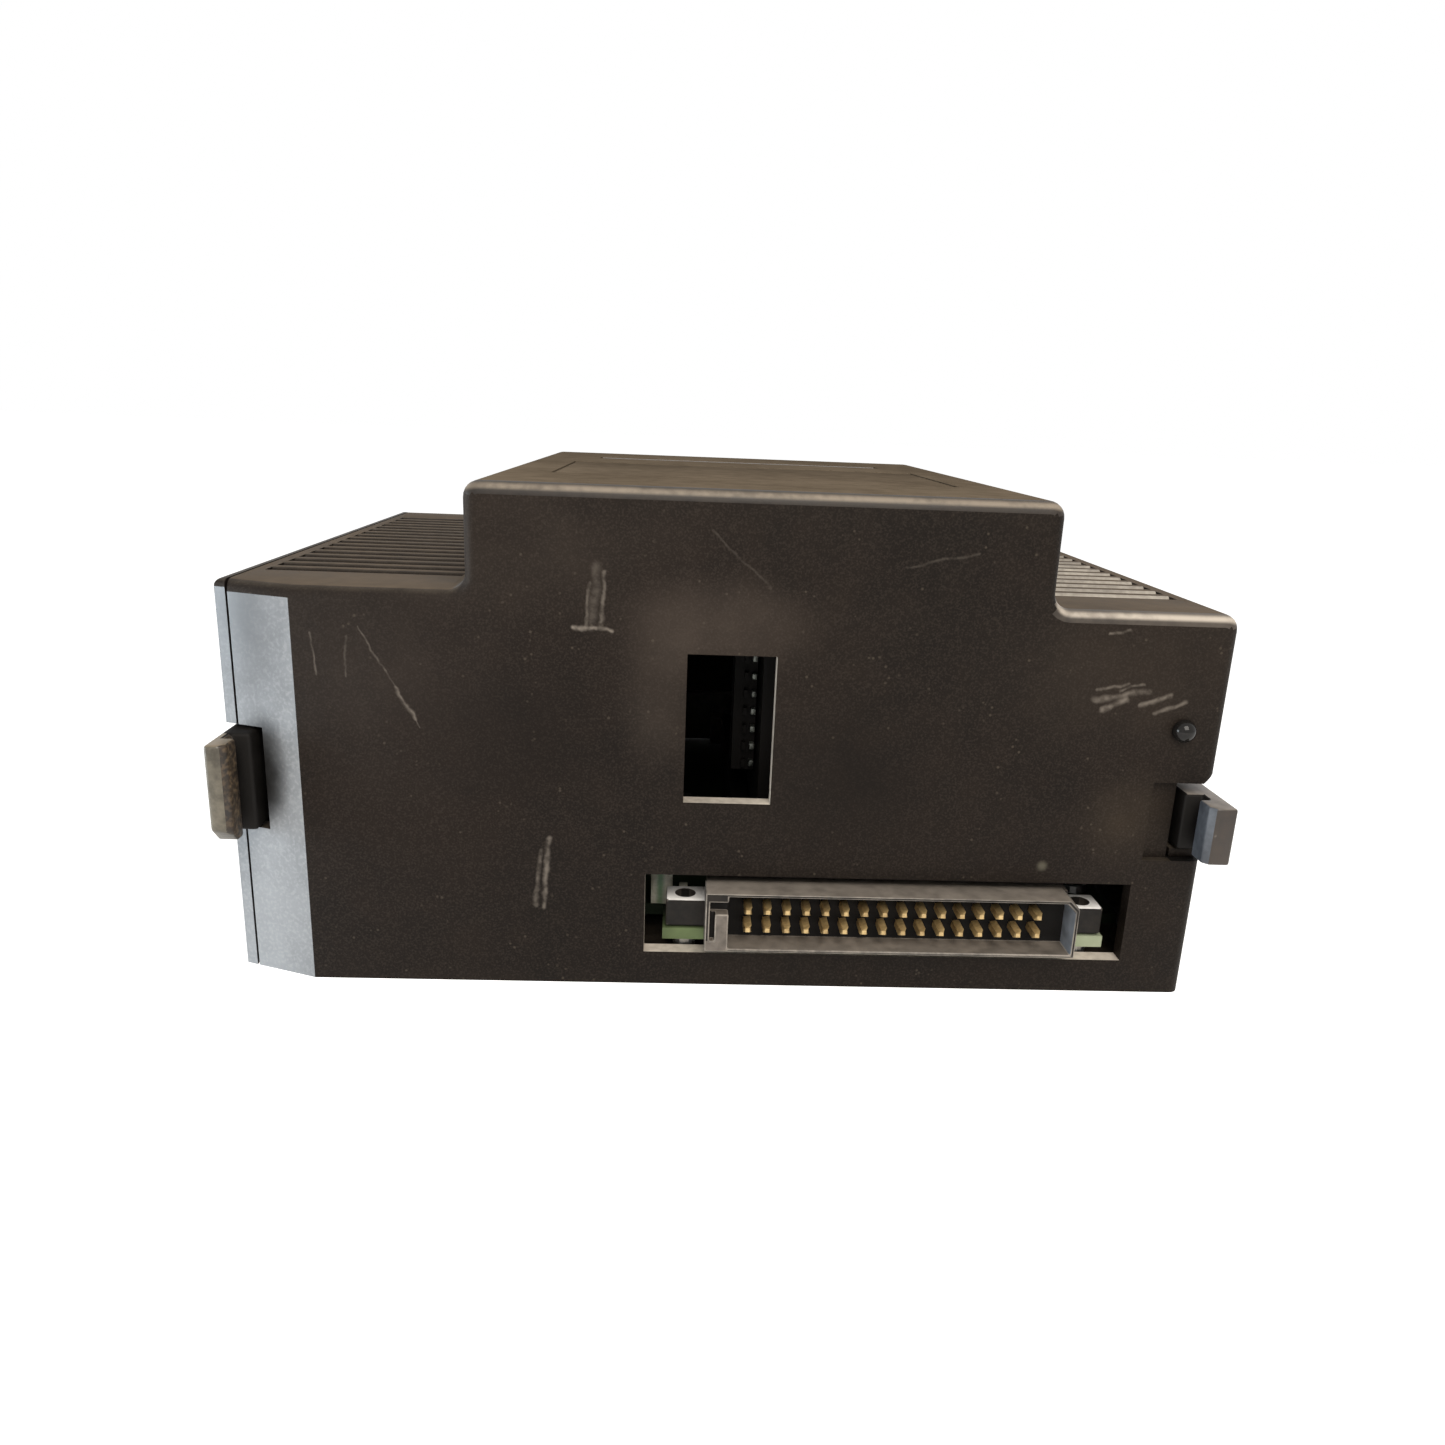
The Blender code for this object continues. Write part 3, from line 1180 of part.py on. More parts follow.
def make_board_pieces():
    chip_x = (RELAY_START + RELAY_LENGTH + IO_BOARD_X - BOARD_SOCKET_WIDTH / 2) / 2
    chip_y = -BOARD_DEPTH / 6
    half = PROCESSOR_SIZE / 2
    processor = box(
        "processor_chip",
        (chip_x - half, chip_y - half, SEAT_Z),
        (chip_x + half, chip_y + half, SEAT_Z + PROCESSOR_HEIGHT),
        CHIP_EPOXY,
    )
    soften(processor, PROCESSOR_EDGE, 1)
    supply_x = BOARD_WIDTH / 2 - TERMINAL_DEPTH - CAPACITOR_RADIUS - BOSS_SIZE
    apart = CAPACITOR_RADIUS + CLEARANCE
    for index, y in enumerate((SUPPLY_Y - apart, SUPPLY_Y + apart)):
        foot = (supply_x, y, SEAT_Z)
        head = (supply_x, y, SEAT_Z + CAPACITOR_HEIGHT)
        capacitor = cylinder(f"capacitor_{index + 1}", CAPACITOR_RADIUS, foot, head, SLEEVE, sides=20)
        soften(capacitor, CAPACITOR_EDGE)
    core_x = IO_BOARD_X + BOARD_SOCKET_WIDTH / 2 + 2 * CLEARANCE
    core_y = chip_y - TRANSFORMER_SIZE / 2
    transformer = box(
        "transformer",
        (core_x, core_y, SEAT_Z),
        (core_x + TRANSFORMER_SIZE, core_y + TRANSFORMER_SIZE, SEAT_Z + TRANSFORMER_HEIGHT),
        CORE,
    )
    soften(transformer, TRANSFORMER_EDGE)
    for index in range(RELAY_COUNT):
        y = FIELD_Y + (index - (RELAY_COUNT - 1) / 2) * RELAY_PITCH
        relay = box(
            f"relay_{index + 1}",
            (RELAY_START, y - RELAY_WIDTH / 2, SEAT_Z),
            (RELAY_START + RELAY_LENGTH, y + RELAY_WIDTH / 2, SEAT_Z + RELAY_HEIGHT),
            RELAY_PLASTIC,
        )
        soften(relay, RELAY_EDGE)


def make_screws():
    for index, (x, y) in enumerate(boss_places()):
        screw(
            f"base_screw_{index + 1}",
            (x, y, SCREW_HEAD_HEIGHT),
            (0, 0, -1),
            SCREW_RADIUS,
            SCREW_LENGTH,
            SCREW_HEAD_RADIUS,
            SCREW_HEAD_HEIGHT - CLEARANCE,
        )
    for index, (x, y) in enumerate(standoff_places()):
        screw(
            f"board_screw_{index + 1}",
            (x, y, SEAT_Z),
            (0, 0, 1),
            SCREW_RADIUS,
            SEAT_Z - BASE_THICKNESS - 2 * CLEARANCE,
            SCREW_HEAD_RADIUS,
            SCREW_HEAD_HEIGHT,
        )
    for index, (y, z) in enumerate(cover_screw_places()):
        screw(
            f"cover_screw_{index + 1}",
            (X_LEFT - CLEARANCE, y, z),
            (-1, 0, 0),
            COVER_SCREW_RADIUS,
            SCREW_LENGTH - BASE_THICKNESS,
            COVER_SCREW_HEAD,
            COVER_SCREW_HEAD_HEIGHT,
        )
    for index, x in enumerate(ear_places()):
        screw(
            f"header_screw_{index + 1}",
            (x, ear_y(), BOARD_BOTTOM - CLEARANCE),
            (0, 0, -1),
            EAR_HOLE_RADIUS - CLEARANCE,
            EAR_SCREW_LENGTH,
            EAR_SCREW_HEAD,
            SCREW_HEAD_HEIGHT,
        )


make_case_shell()
make_end_cover()
make_base_plate()
make_latch("right_latch", 1, LATCH_PLASTIC)
make_latch("left_latch", -1, SMOKED_PLASTIC)
make_pivot_pin("right_latch_pin", 1)
make_pivot_pin("left_latch_pin", -1)
make_spring("right_latch_spring", 1)
make_spring("left_latch_spring", -1)
make_locating_stud()
make_main_board()
make_bus_header()
make_bus_socket()
make_contacts()
make_terminal("field_terminal", -1, FIELD_Y, FIELD_WAYS)
make_terminal("supply_terminal", 1, SUPPLY_Y, SUPPLY_WAYS)
make_top_pieces()
make_io_board()
make_io_chip()
make_board_pieces()
make_screws()
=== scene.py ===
import json
import math

import bmesh
import bpy
from mathutils import Matrix, Vector


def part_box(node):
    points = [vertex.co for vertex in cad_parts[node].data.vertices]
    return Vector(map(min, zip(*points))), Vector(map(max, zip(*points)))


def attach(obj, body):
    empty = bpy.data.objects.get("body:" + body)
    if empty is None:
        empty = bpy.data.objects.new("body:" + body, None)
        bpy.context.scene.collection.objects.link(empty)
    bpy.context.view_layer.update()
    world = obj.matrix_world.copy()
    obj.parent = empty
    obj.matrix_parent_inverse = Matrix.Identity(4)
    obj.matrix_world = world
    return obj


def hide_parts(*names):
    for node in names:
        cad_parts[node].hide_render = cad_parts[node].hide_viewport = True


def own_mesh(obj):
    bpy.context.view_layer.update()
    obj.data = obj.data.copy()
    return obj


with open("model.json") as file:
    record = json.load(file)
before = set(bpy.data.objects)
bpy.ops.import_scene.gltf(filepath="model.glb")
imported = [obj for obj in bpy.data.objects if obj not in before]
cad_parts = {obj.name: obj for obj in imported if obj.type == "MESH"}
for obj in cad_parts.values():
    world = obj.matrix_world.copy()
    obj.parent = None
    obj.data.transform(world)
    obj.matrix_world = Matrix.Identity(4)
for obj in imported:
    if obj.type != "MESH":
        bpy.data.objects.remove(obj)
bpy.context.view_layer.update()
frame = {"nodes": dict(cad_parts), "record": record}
nodes = frame["nodes"]
mm = 0.001
tiny = 0.01 * mm  # for points that lie on one plane
near = 0.1 * mm  # for faces at a known height
squarely = 0.9  # cosine of a face that looks one way
flush = 0.97  # cosine of a face that is all but level
shellLow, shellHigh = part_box("case_shell")
coverLow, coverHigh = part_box("end_cover")
faceY, farY = shellLow.y, shellHigh.y
print("frame loaded:", len(nodes), "nodes")


# node tree helpers
def addNode(tree, kind, **values):
    node = tree.nodes.new(kind)
    for key, value in values.items():
        setattr(node, key, value)
    return node


# values and links go in by socket name, with _ for a space, or by number as in0, in1
def feed(tree, node, **sources):
    for key, source in sources.items():
        socket = node.inputs[int(key[2:])] if key.startswith("in") else node.inputs[key.replace("_", " ")]
        if hasattr(source, "links"):
            tree.links.new(source, socket)
        else:
            socket.default_value = source


# a shared effect: its tree, what it is given and its end
def newGroup(name, vectors, numbers, outputs):
    tree = bpy.data.node_groups.new(name, "ShaderNodeTree")
    for label in vectors:
        tree.interface.new_socket(label, in_out="INPUT", socket_type="NodeSocketVector")
    for label in numbers:
        tree.interface.new_socket(label, in_out="INPUT", socket_type="NodeSocketFloat")
    for label in outputs:
        tree.interface.new_socket(label, in_out="OUTPUT", socket_type="NodeSocketFloat")
    return tree, addNode(tree, "NodeGroupInput").outputs, addNode(tree, "NodeGroupOutput")


def useMath(tree, operation, first, second=None, clamp=False):
    node = addNode(tree, "ShaderNodeMath", operation=operation, use_clamp=clamp)
    feed(tree, node, in0=first)
    if second is not None:
        feed(tree, node, in1=second)
    return node.outputs[0]


def multiply(tree, first, second):
    return useMath(tree, "MULTIPLY", first, second)


def useVector(tree, operation, first, second=None, output=0):
    node = addNode(tree, "ShaderNodeVectorMath", operation=operation)
    feed(tree, node, in0=first)
    if second is not None:
        feed(tree, node, in1=second)
    return node.outputs[output]


def useNoise(tree, place, scale, detail=3.0):
    node = addNode(tree, "ShaderNodeTexNoise")
    feed(tree, node, Vector=place, Scale=scale, Detail=detail)
    return node.outputs["Fac"]


def useRange(tree, value, low, high, toLow=0.0, toHigh=1.0):
    node = addNode(tree, "ShaderNodeMapRange", interpolation_type="SMOOTHSTEP")
    feed(tree, node, in0=value, in1=low, in2=high, in3=toLow, in4=toHigh)
    return node.outputs[0]


def blendColour(tree, factor, first, second):
    node = addNode(tree, "ShaderNodeMix", data_type="RGBA")
    feed(tree, node, in0=factor, in6=first, in7=second)
    return node.outputs[2]


# fine grain, broad clouds and sparse pale dots of a moulded surface
grainForm = {"middle": 7.0, "broadShare": 0.6, "middleShare": 0.4, "dotScale": 0.22, "thinScale": 260.0}


def makeGrainGroup():
    outputs = ["Height", "Mottle", "Speckle"]
    tree, given, end = newGroup("mouldedGrain", ["Place"], ["Grain", "Cloud"], outputs)
    place, cloud = given["Place"], given["Cloud"]
    fine = useNoise(tree, place, given["Grain"], 2.0)
    broad = useNoise(tree, place, cloud, 5.0)
    middle = useNoise(tree, place, multiply(tree, cloud, grainForm["middle"]), 4.0)
    broadPart = multiply(tree, broad, grainForm["broadShare"])
    mottle = useMath(tree, "ADD", broadPart, multiply(tree, middle, grainForm["middleShare"]))
    cells = addNode(tree, "ShaderNodeTexVoronoi")
    feed(tree, cells, Vector=place, Scale=multiply(tree, given["Grain"], grainForm["dotScale"]))
    dots = useRange(tree, cells.outputs["Distance"], 0.10, 0.22, 1.0, 0.0)
    thinned = useRange(tree, useNoise(tree, place, grainForm["thinScale"], 2.0), 0.56, 0.66)
    feed(tree, end, Height=fine, Mottle=mottle, Speckle=multiply(tree, dots, thinned))
    return tree


# dust that has settled on faces that look up
dustForm = {"patchScale": 420.0, "steep": 0.5, "level": 0.95}


def makeDustGroup():
    tree, given, end = newGroup("dustFall", ["Place", "Facing"], ["Amount"], ["Mask"])
    split = addNode(tree, "ShaderNodeSeparateXYZ")
    feed(tree, split, in0=given["Facing"])
    upward = useRange(tree, split.outputs["Z"], dustForm["steep"], dustForm["level"])
    patch = useRange(tree, useNoise(tree, given["Place"], dustForm["patchScale"], 5.0), 0.25, 0.75, 0.4, 1.0)
    feed(tree, end, Mask=multiply(tree, multiply(tree, upward, patch), given["Amount"]))
    return tree


# one rubbed line from Start to End, swaying a little and broken up along its length
rubForm = {"swayScale": 420.0, "sway": 1.2 * mm, "breakScale": 900.0}


def makeScratchGroup():
    tree, given, end = newGroup("rubbedLine", ["Place", "Start", "End"], ["Width"], ["Mask"])
    sway = addNode(tree, "ShaderNodeTexNoise")
    feed(tree, sway, Vector=given["Place"], Scale=rubForm["swayScale"], Detail=3.0)
    shift = useVector(tree, "SUBTRACT", sway.outputs["Color"], (0.5, 0.5, 0.5))
    reach = useVector(tree, "SUBTRACT", given["Place"], given["Start"])
    shift = useVector(tree, "MULTIPLY", shift, (rubForm["sway"], 0.0, rubForm["sway"]))
    reach = useVector(tree, "ADD", reach, shift)
    line = useVector(tree, "SUBTRACT", given["End"], given["Start"])
    along = useVector(tree, "DOT_PRODUCT", reach, line, 1)
    whole = useVector(tree, "DOT_PRODUCT", line, line, 1)
    scaled = addNode(tree, "ShaderNodeVectorMath", operation="SCALE")
    feed(tree, scaled, Vector=line, Scale=useMath(tree, "DIVIDE", along, whole, True))
    away = useVector(tree, "LENGTH", useVector(tree, "SUBTRACT", reach, scaled.outputs[0]), None, 1)
    nearness = useRange(tree, useMath(tree, "DIVIDE", away, given["Width"]), 0.0, 1.0, 1.0, 0.0)
    broken = useRange(tree, useNoise(tree, given["Place"], rubForm["breakScale"], 8.0), 0.25, 0.7, 0.2, 1.0)
    feed(tree, end, Mask=multiply(tree, nearness, broken))
    return tree


# soft cloudy patch, for dust and soot, and also for painted shade, painted shadows, painted reflections and
# painted highlights
patchForm = {"solid": 0.1, "cloudScale": 110.0}


def makePatchGroup():
    tree, given, end = newGroup("dustySmudge", ["Place", "Centre", "Size"], [], ["Mask"])
    reach = useVector(tree, "SUBTRACT", given["Place"], given["Centre"])
    away = useVector(tree, "LENGTH", useVector(tree, "DIVIDE", reach, given["Size"]), None, 1)
    soft = useRange(tree, away, patchForm["solid"], 1.0, 1.0, 0.0)
    cloudy = useNoise(tree, given["Place"], patchForm["cloudScale"], 6.0)
    cloudy = useRange(tree, cloudy, 0.25, 0.75, 0.4, 1.0)
    feed(tree, end, Mask=multiply(tree, soft, cloudy))
    return tree


# faint ejector ring pressed into a moulded face
def makeRingGroup():
    tree, given, end = newGroup("mouldedRing", ["Place", "Centre"], ["Radius", "Width"], ["Height"])
    away = useVector(tree, "LENGTH", useVector(tree, "SUBTRACT", given["Place"], given["Centre"]), None, 1)
    offset = useMath(tree, "ABSOLUTE", useMath(tree, "SUBTRACT", away, given["Radius"]))
    share = useMath(tree, "DIVIDE", offset, given["Width"])
    feed(tree, end, Height=useRange(tree, share, 0.0, 1.0, -1.4, 0.0))
    return tree


grainGroup = makeGrainGroup()
ringGroup = makeRingGroup()
dustGroup = makeDustGroup()
scratchGroup = makeScratchGroup()
patchGroup = makePatchGroup()
print("shared finishes ready")


def useGroup(tree, group, **sources):
    node = addNode(tree, "ShaderNodeGroup", node_tree=group)
    feed(tree, node, **sources)
    return node


# what a finish has unless its own settings say otherwise
plainFinish = {
    "grain": 2400.0,
    "cloud": 160.0,
    "roughness": (0.4, 0.55),
    "specular": 0.5,
    "ior": 1.5,
    "tint": (1.0, 1.0, 1.0),
    "metallic": 0.0,
    "bump": 0.2,
    "depth": 0.04 * mm,
    "speckle": 0.0,
}


# a moulded or plated finish: two colours in clouds, fine grain, marks, soft patches of dirt and of painted
# shade and painted light, a painted highlight band on faces of a set tilt, and pale dust on upward faces
def makeFinish(name, settings):
    form = {**plainFinish, **settings}
    made = bpy.data.materials.new(name)
    made.use_nodes = True
    tree = made.node_tree
    shader = tree.nodes["Principled BSDF"]
    place = addNode(tree, "ShaderNodeTexCoord").outputs["Object"]
    facing = addNode(tree, "ShaderNodeNewGeometry").outputs["Normal"]
    grain = useGroup(tree, grainGroup, Place=place, Grain=form["grain"], Cloud=form["cloud"]).outputs
    mottle = grain["Mottle"]
    colour = blendColour(tree, useRange(tree, mottle, 0.3, 0.7), (*form["dark"], 1.0), (*form["light"], 1.0))
    if "fleck" in form:
        fleck = useRange(tree, grain["Height"], 0.42, 0.72, 0.0, form["fleckAmount"])
        colour = blendColour(tree, fleck, colour, (*form["fleck"], 1.0))
    speckle = multiply(tree, grain["Speckle"], form["speckle"])
    colour = blendColour(tree, speckle, colour, (*form.get("dust", form["light"]), 1.0))
    for centre, size, amount, tone in form.get("smudges", []):
        mask = useGroup(tree, patchGroup, Place=place, Centre=centre, Size=size).outputs["Mask"]
        colour = blendColour(tree, multiply(tree, mask, amount), colour, (*tone, 1.0))
    for first, last, width, amount in form.get("scratches", []):
        mask = useGroup(tree, scratchGroup, Place=place, Start=first, End=last, Width=width).outputs["Mask"]
        colour = blendColour(tree, multiply(tree, mask, amount), colour, (*form["rubbed"], 1.0))
    # painted highlight: a pale band on faces whose normal tilts up by about crestTilt, broken up by the
    # mottle
    if "crest" in form:
        split = addNode(tree, "ShaderNodeSeparateXYZ")
        feed(tree, split, in0=facing)
        tilt = useMath(tree, "ABSOLUTE", useMath(tree, "SUBTRACT", split.outputs["Z"], form["crestTilt"]))
        band = useRange(tree, tilt, 0.04, 0.36, form["crestAmount"], 0.0)
        band = multiply(tree, band, useRange(tree, mottle, 0.35, 0.6, 0.55, 1.0))
        colour = blendColour(tree, band, colour, (*form["crest"], 1.0))
    if "dust" in form:
        fall = useGroup(tree, dustGroup, Place=place, Facing=facing, Amount=form["dustAmount"])
        colour = blendColour(tree, fall.outputs["Mask"], colour, (*form["dust"], 1.0))
    height = grain["Height"]
    if "ring" in form:
        centre, radius, width = form["ring"]
        ring = useGroup(tree, ringGroup, Place=place, Centre=centre, Radius=radius, Width=width)
        height = useMath(tree, "ADD", height, ring.outputs["Height"])
    bump = addNode(tree, "ShaderNodeBump")
    feed(tree, bump, Strength=form["bump"], Distance=form["depth"], Height=height)
    feed(tree, shader, Base_Color=colour, Roughness=useRange(tree, mottle, 0.3, 0.7, *form["roughness"]))
    feed(tree, shader, Metallic=form["metallic"], Specular_IOR_Level=form["specular"], IOR=form["ior"])
    feed(tree, shader, Specular_Tint=(*form["tint"], 1.0), Normal=bump.outputs["Normal"])
    return made


def atPoint(x, y, z):
    return (x * mm, y * mm, z * mm)


def onFace(x, z):
    return (x * mm, faceY, z * mm)


def scratch(x0, z0, x1, z1, width, amount):
    return (onFace(x0, z0), onFace(x1, z1), width * mm, amount)


def softPatch(centre, size, amount, colour):
    return (centre, atPoint(*size), amount, colour)


finishes = {}


def addFinish(slotName, name, settings):
    finishes[slotName] = makeFinish(name, settings)
    return settings


addFinish("case_plastic", "casePlastic", {
    "dark": (0.002, 0.0014, 0.0011),
    "light": (0.0085, 0.0059, 0.0044),
    "grain": 4200.0,
    "cloud": 34.0,
    "roughness": (0.48, 0.62),
    "specular": 0.14,
    "tint": (1.0, 0.88, 0.79),
    "bump": 0.45,
    "depth": 0.07 * mm,
    "fleck": (0.04, 0.0315, 0.0255),
    "fleckAmount": 0.3,
    "speckle": 0.3,
    "dust": (0.11, 0.09, 0.068),
    "dustAmount": 0.35,
    "ring": (onFace(31.7, 23.0), 4.2 * mm, 0.35 * mm),
    "rubbed": (0.22, 0.19, 0.16),
    "scratches": [
        scratch(-15.5, 54.8, -15.9, 48.0, 0.35, 0.45),
        scratch(-19.1, 47.9, -14.5, 47.8, 0.4, 0.85),
        scratch(-16.4, 55.4, -17.0, 48.0, 0.9, 0.2),
        scratch(-17.4, 53.5, -17.6, 48.0, 0.3, 0.35),
        scratch(-23.3, 18.8, -24.1, 10.9, 0.45, 0.45),
        scratch(-22.3, 20.5, -23.0, 10.7, 0.5, 0.6),
        scratch(46.2, 42.1, 50.1, 43.1, 0.35, 0.45),
        scratch(46.0, 40.8, 52.8, 42.3, 0.6, 0.55),
        scratch(47.0, 39.6, 49.8, 40.9, 0.65, 0.6),
        scratch(51.8, 40.3, 55.5, 41.8, 0.45, 0.55),
        scratch(49.0, 42.2, 52.0, 43.2, 0.3, 0.45),
        scratch(53.9, 39.5, 57.5, 40.9, 0.45, 0.5),
        scratch(-44.9, 47.3, -38.1, 34.8, 0.17, 0.3),
        scratch(-40.9, 39.8, -38.7, 35.8, 0.35, 0.4),
        scratch(-50.7, 46.3, -50.4, 41.2, 0.2, 0.32),
        scratch(-46.6, 46.1, -46.6, 41.1, 0.2, 0.22),
        scratch(-2.5, 60.0, 4.5, 53.5, 0.25, 0.12),
        scratch(20.8, 56.6, 29.5, 58.6, 0.25, 0.15),
        scratch(46.8, 49.4, 49.4, 49.7, 0.3, 0.5),
    ],
    "smudges": [
        softPatch(onFace(-2, 48.5), (16, 8, 8.5), 0.42, (0.075, 0.058, 0.047)),
        softPatch(onFace(-24, 58), (26, 8, 12), 0.22, (0.06, 0.046, 0.036)),
        softPatch(onFace(-8.5, 40), (7, 8, 12), 0.45, (0.06, 0.047, 0.038)),
        softPatch(onFace(-42, 40), (22, 8, 22), 0.2, (0.055, 0.044, 0.038)),
        softPatch(onFace(50, 46), (26, 8, 16), 0.22, (0.055, 0.042, 0.032)),
        softPatch(onFace(15, 30), (15, 8, 14), 0.7, (0.0015, 0.001, 0.0008)),
        softPatch(onFace(-28, 34), (20, 8, 12), 0.6, (0.0015, 0.001, 0.0008)),
        # painted shadow: a dark patch in the recess beside the right latch
        softPatch(onFace(60, 25), (4.4, 8, 9), 1.0, (0.0006, 0.0005, 0.0004)),
        softPatch(onFace(53, 25), (9, 8, 9), 0.2, (0.1, 0.074, 0.05)),
        softPatch(onFace(42, 18.2), (1, 1, 1), 0.7, (0.13, 0.12, 0.09)),
    ],
})
# the raised top: a lighter warm colour with no specular, as painted light and sheen from above
litTopFinish = addFinish("top", "dustyTop", {
    "dark": (0.11, 0.086, 0.061),
    "light": (0.18, 0.143, 0.103),
    "grain": 3000.0,
    "cloud": 46.0,
    "roughness": (0.6, 0.75),
    "specular": 0.0,
    "bump": 0.3,
    "depth": 0.06 * mm,
    "fleck": (0.16, 0.13, 0.098),
    "fleckAmount": 0.4,
})
# the shoulders: the same painted light, a little darker
addFinish("shoulder", "dustyShoulder", {
    **litTopFinish,
    "dark": (0.074, 0.057, 0.041),
    "light": (0.132, 0.103, 0.076),
    "cloud": 60.0,
    "specular": 0.03,
    "fleck": (0.1, 0.08, 0.063),
})
# the front rim fillet: lighter than the case, with a painted highlight band
rimHighlightFinish = addFinish("rim", "wornRim", {
    "dark": (0.012, 0.009, 0.007),
    "light": (0.03, 0.0235, 0.0185),
    "grain": 3000.0,
    "cloud": 120.0,
    "roughness": (0.42, 0.55),
    "specular": 0.25,
    "bump": 0.3,
    "depth": 0.05 * mm,
    "crest": (0.27, 0.225, 0.175),
    "crestTilt": 0.66,
    "crestAmount": 0.85,
})
# the right shoulder's front rim: a brighter painted highlight
addFinish("brightRim", "brightRim", {
    **rimHighlightFinish,
    "dark": (0.03, 0.024, 0.019),
    "light": (0.07, 0.057, 0.046),
    "crest": (0.5, 0.44, 0.37),
    "crestAmount": 0.95,
})
# the vent lips on the right shoulder: painted highlight
addFinish("lip", "wornLip", {
    "dark": (0.2, 0.175, 0.145),
    "light": (0.42, 0.38, 0.32),
})
# faces that look left: painted cool light from the card at the left
coolLightFinish = addFinish("cool", "paleSide", {
    "dark": (0.1, 0.112, 0.13),
    "light": (0.17, 0.184, 0.204),
    "grain": 2800.0,
    "cloud": 150.0,
    "roughness": (0.4, 0.5),
})
# the right latch head's inner face: painted cool light, darker
addFinish("latchSide", "latchSide", {
    **coolLightFinish,
    "dark": (0.04, 0.046, 0.056),
    "light": (0.09, 0.101, 0.118),
    "cloud": 210.0,
})
addFinish("shade", "deepShade", {
    "dark": (0.003, 0.0024, 0.002),
    "light": (0.006, 0.005, 0.0042),
    "grain": 2800.0,
    "cloud": 90.0,
    "roughness": (0.55, 0.7),
    "specular": 0.15,
})
# the left latch's inner side: brown with pale flecks, with painted shade in the head's front crease and
# towards the stem's root in the slot
addFinish("soiled", "soiledSide", {
    "dark": (0.007, 0.004, 0.0017),
    "light": (0.036, 0.022, 0.01),
    "grain": 1500.0,
    "cloud": 320.0,
    "roughness": (0.4, 0.6),
    "bump": 0.5,
    "depth": 0.1 * mm,
    "fleck": (0.22, 0.15, 0.085),
    "fleckAmount": 0.5,
    "smudges": [
        softPatch(atPoint(-60, -51.9, 27), (3, 1.1, 20), 1.0, (0.006, 0.003, 0.0015)),
        softPatch(atPoint(-59, -45.0, 27), (30, 6.2, 40), 1.0, (0.004, 0.003, 0.0022)),
    ],
})
# the slanted facets: a pale bluish base colour as a painted sheen of the light from the left
addFinish("facet", "facetPlastic", {
    "dark": (0.17, 0.183, 0.199),
    "light": (0.25, 0.268, 0.288),
    "grain": 2200.0,
    "cloud": 60.0,
    "roughness": (0.3, 0.38),
    "specular": 0.4,
    "ior": 1.6,
    "tint": (0.93, 0.97, 1.0),
    "bump": 0.12,
    "depth": 0.03 * mm,
    "fleck": (0.36, 0.376, 0.392),
    "fleckAmount": 0.4,
    "speckle": 0.1,
    "dust": (0.3, 0.3, 0.3),
    "dustAmount": 0.1,
    "smudges": [
        # painted reflection of the dark latch beside its slot
        softPatch(atPoint(-58.5, -46, 28), (4.4, 12, 10), 1.0, (0.01, 0.008, 0.007)),
        softPatch(atPoint(-58.2, -46, 27.5), (4.0, 12, 9.4), 1.0, (0.01, 0.008, 0.007)),
        softPatch(atPoint(-57.6, -46.5, 29), (3.4, 12, 8.4), 1.0, (0.006, 0.005, 0.004)),
        # painted shade on the upper facet, and a painted sheen on the lower facet
        softPatch(atPoint(-61.5, -46, 46), (11, 14, 17), 0.95, (0.075, 0.08, 0.087)),
        softPatch(atPoint(-58.5, -46, 7), (10, 14, 15), 0.5, (0.36, 0.38, 0.4)),
    ],
})
# the window and cutout edges: pale cut plastic on the upward ledges, painted highlight on the side faces
addFinish("ledge", "rubbedLedge", {
    "dark": (0.36, 0.32, 0.27),
    "light": (0.62, 0.56, 0.48),
    "roughness": (0.5, 0.65),
    "bump": 0.3,
    "depth": 0.06 * mm,
})
# the ear tops of the header: painted highlight
addFinish("earTop", "paleEar", {
    "dark": (0.8, 0.78, 0.75),
    "light": (0.95, 0.94, 0.92),
    "roughness": (0.5, 0.65),
})
addFinish("smoked_plastic", "smokedPlastic", {
    "dark": (0.04, 0.033, 0.021),
    "light": (0.15, 0.132, 0.098),
    "grain": 1600.0,
    "cloud": 180.0,
    "roughness": (0.3, 0.5),
    "bump": 0.4,
    "depth": 0.1 * mm,
    "speckle": 0.6,
    "dust": (0.28, 0.22, 0.15),
    "dustAmount": 0.6,
})
addFinish("latch_plastic", "latchPlastic", {
    "dark": (0.011, 0.0074, 0.005),
    "light": (0.031, 0.0215, 0.015),
    "grain": 2800.0,
    "cloud": 110.0,
    "roughness": (0.36, 0.5),
    "bump": 0.25,
    "depth": 0.05 * mm,
    "speckle": 0.4,
    "dust": (0.33, 0.29, 0.25),
    "dustAmount": 0.6,
})
headerFinish = addFinish("header_plastic", "headerPlastic", {
    "dark": (0.022, 0.0185, 0.0155),
    "light": (0.085, 0.073, 0.061),
    "cloud": 110.0,
    "roughness": (0.45, 0.65),
    "specular": 0.3,
    "bump": 0.4,
    "depth": 0.08 * mm,
    "speckle": 0.3,
    "dust": (0.21, 0.18, 0.15),
    "dustAmount": 0.6,
})
# front faces of the header: painted shade
addFinish("headerRim", "headerRim", {
    **headerFinish,
    "dark": (0.005, 0.0042, 0.0035),
    "light": (0.02, 0.0168, 0.014),
    "cloud": 140.0,
    "specular": 0.18,
})
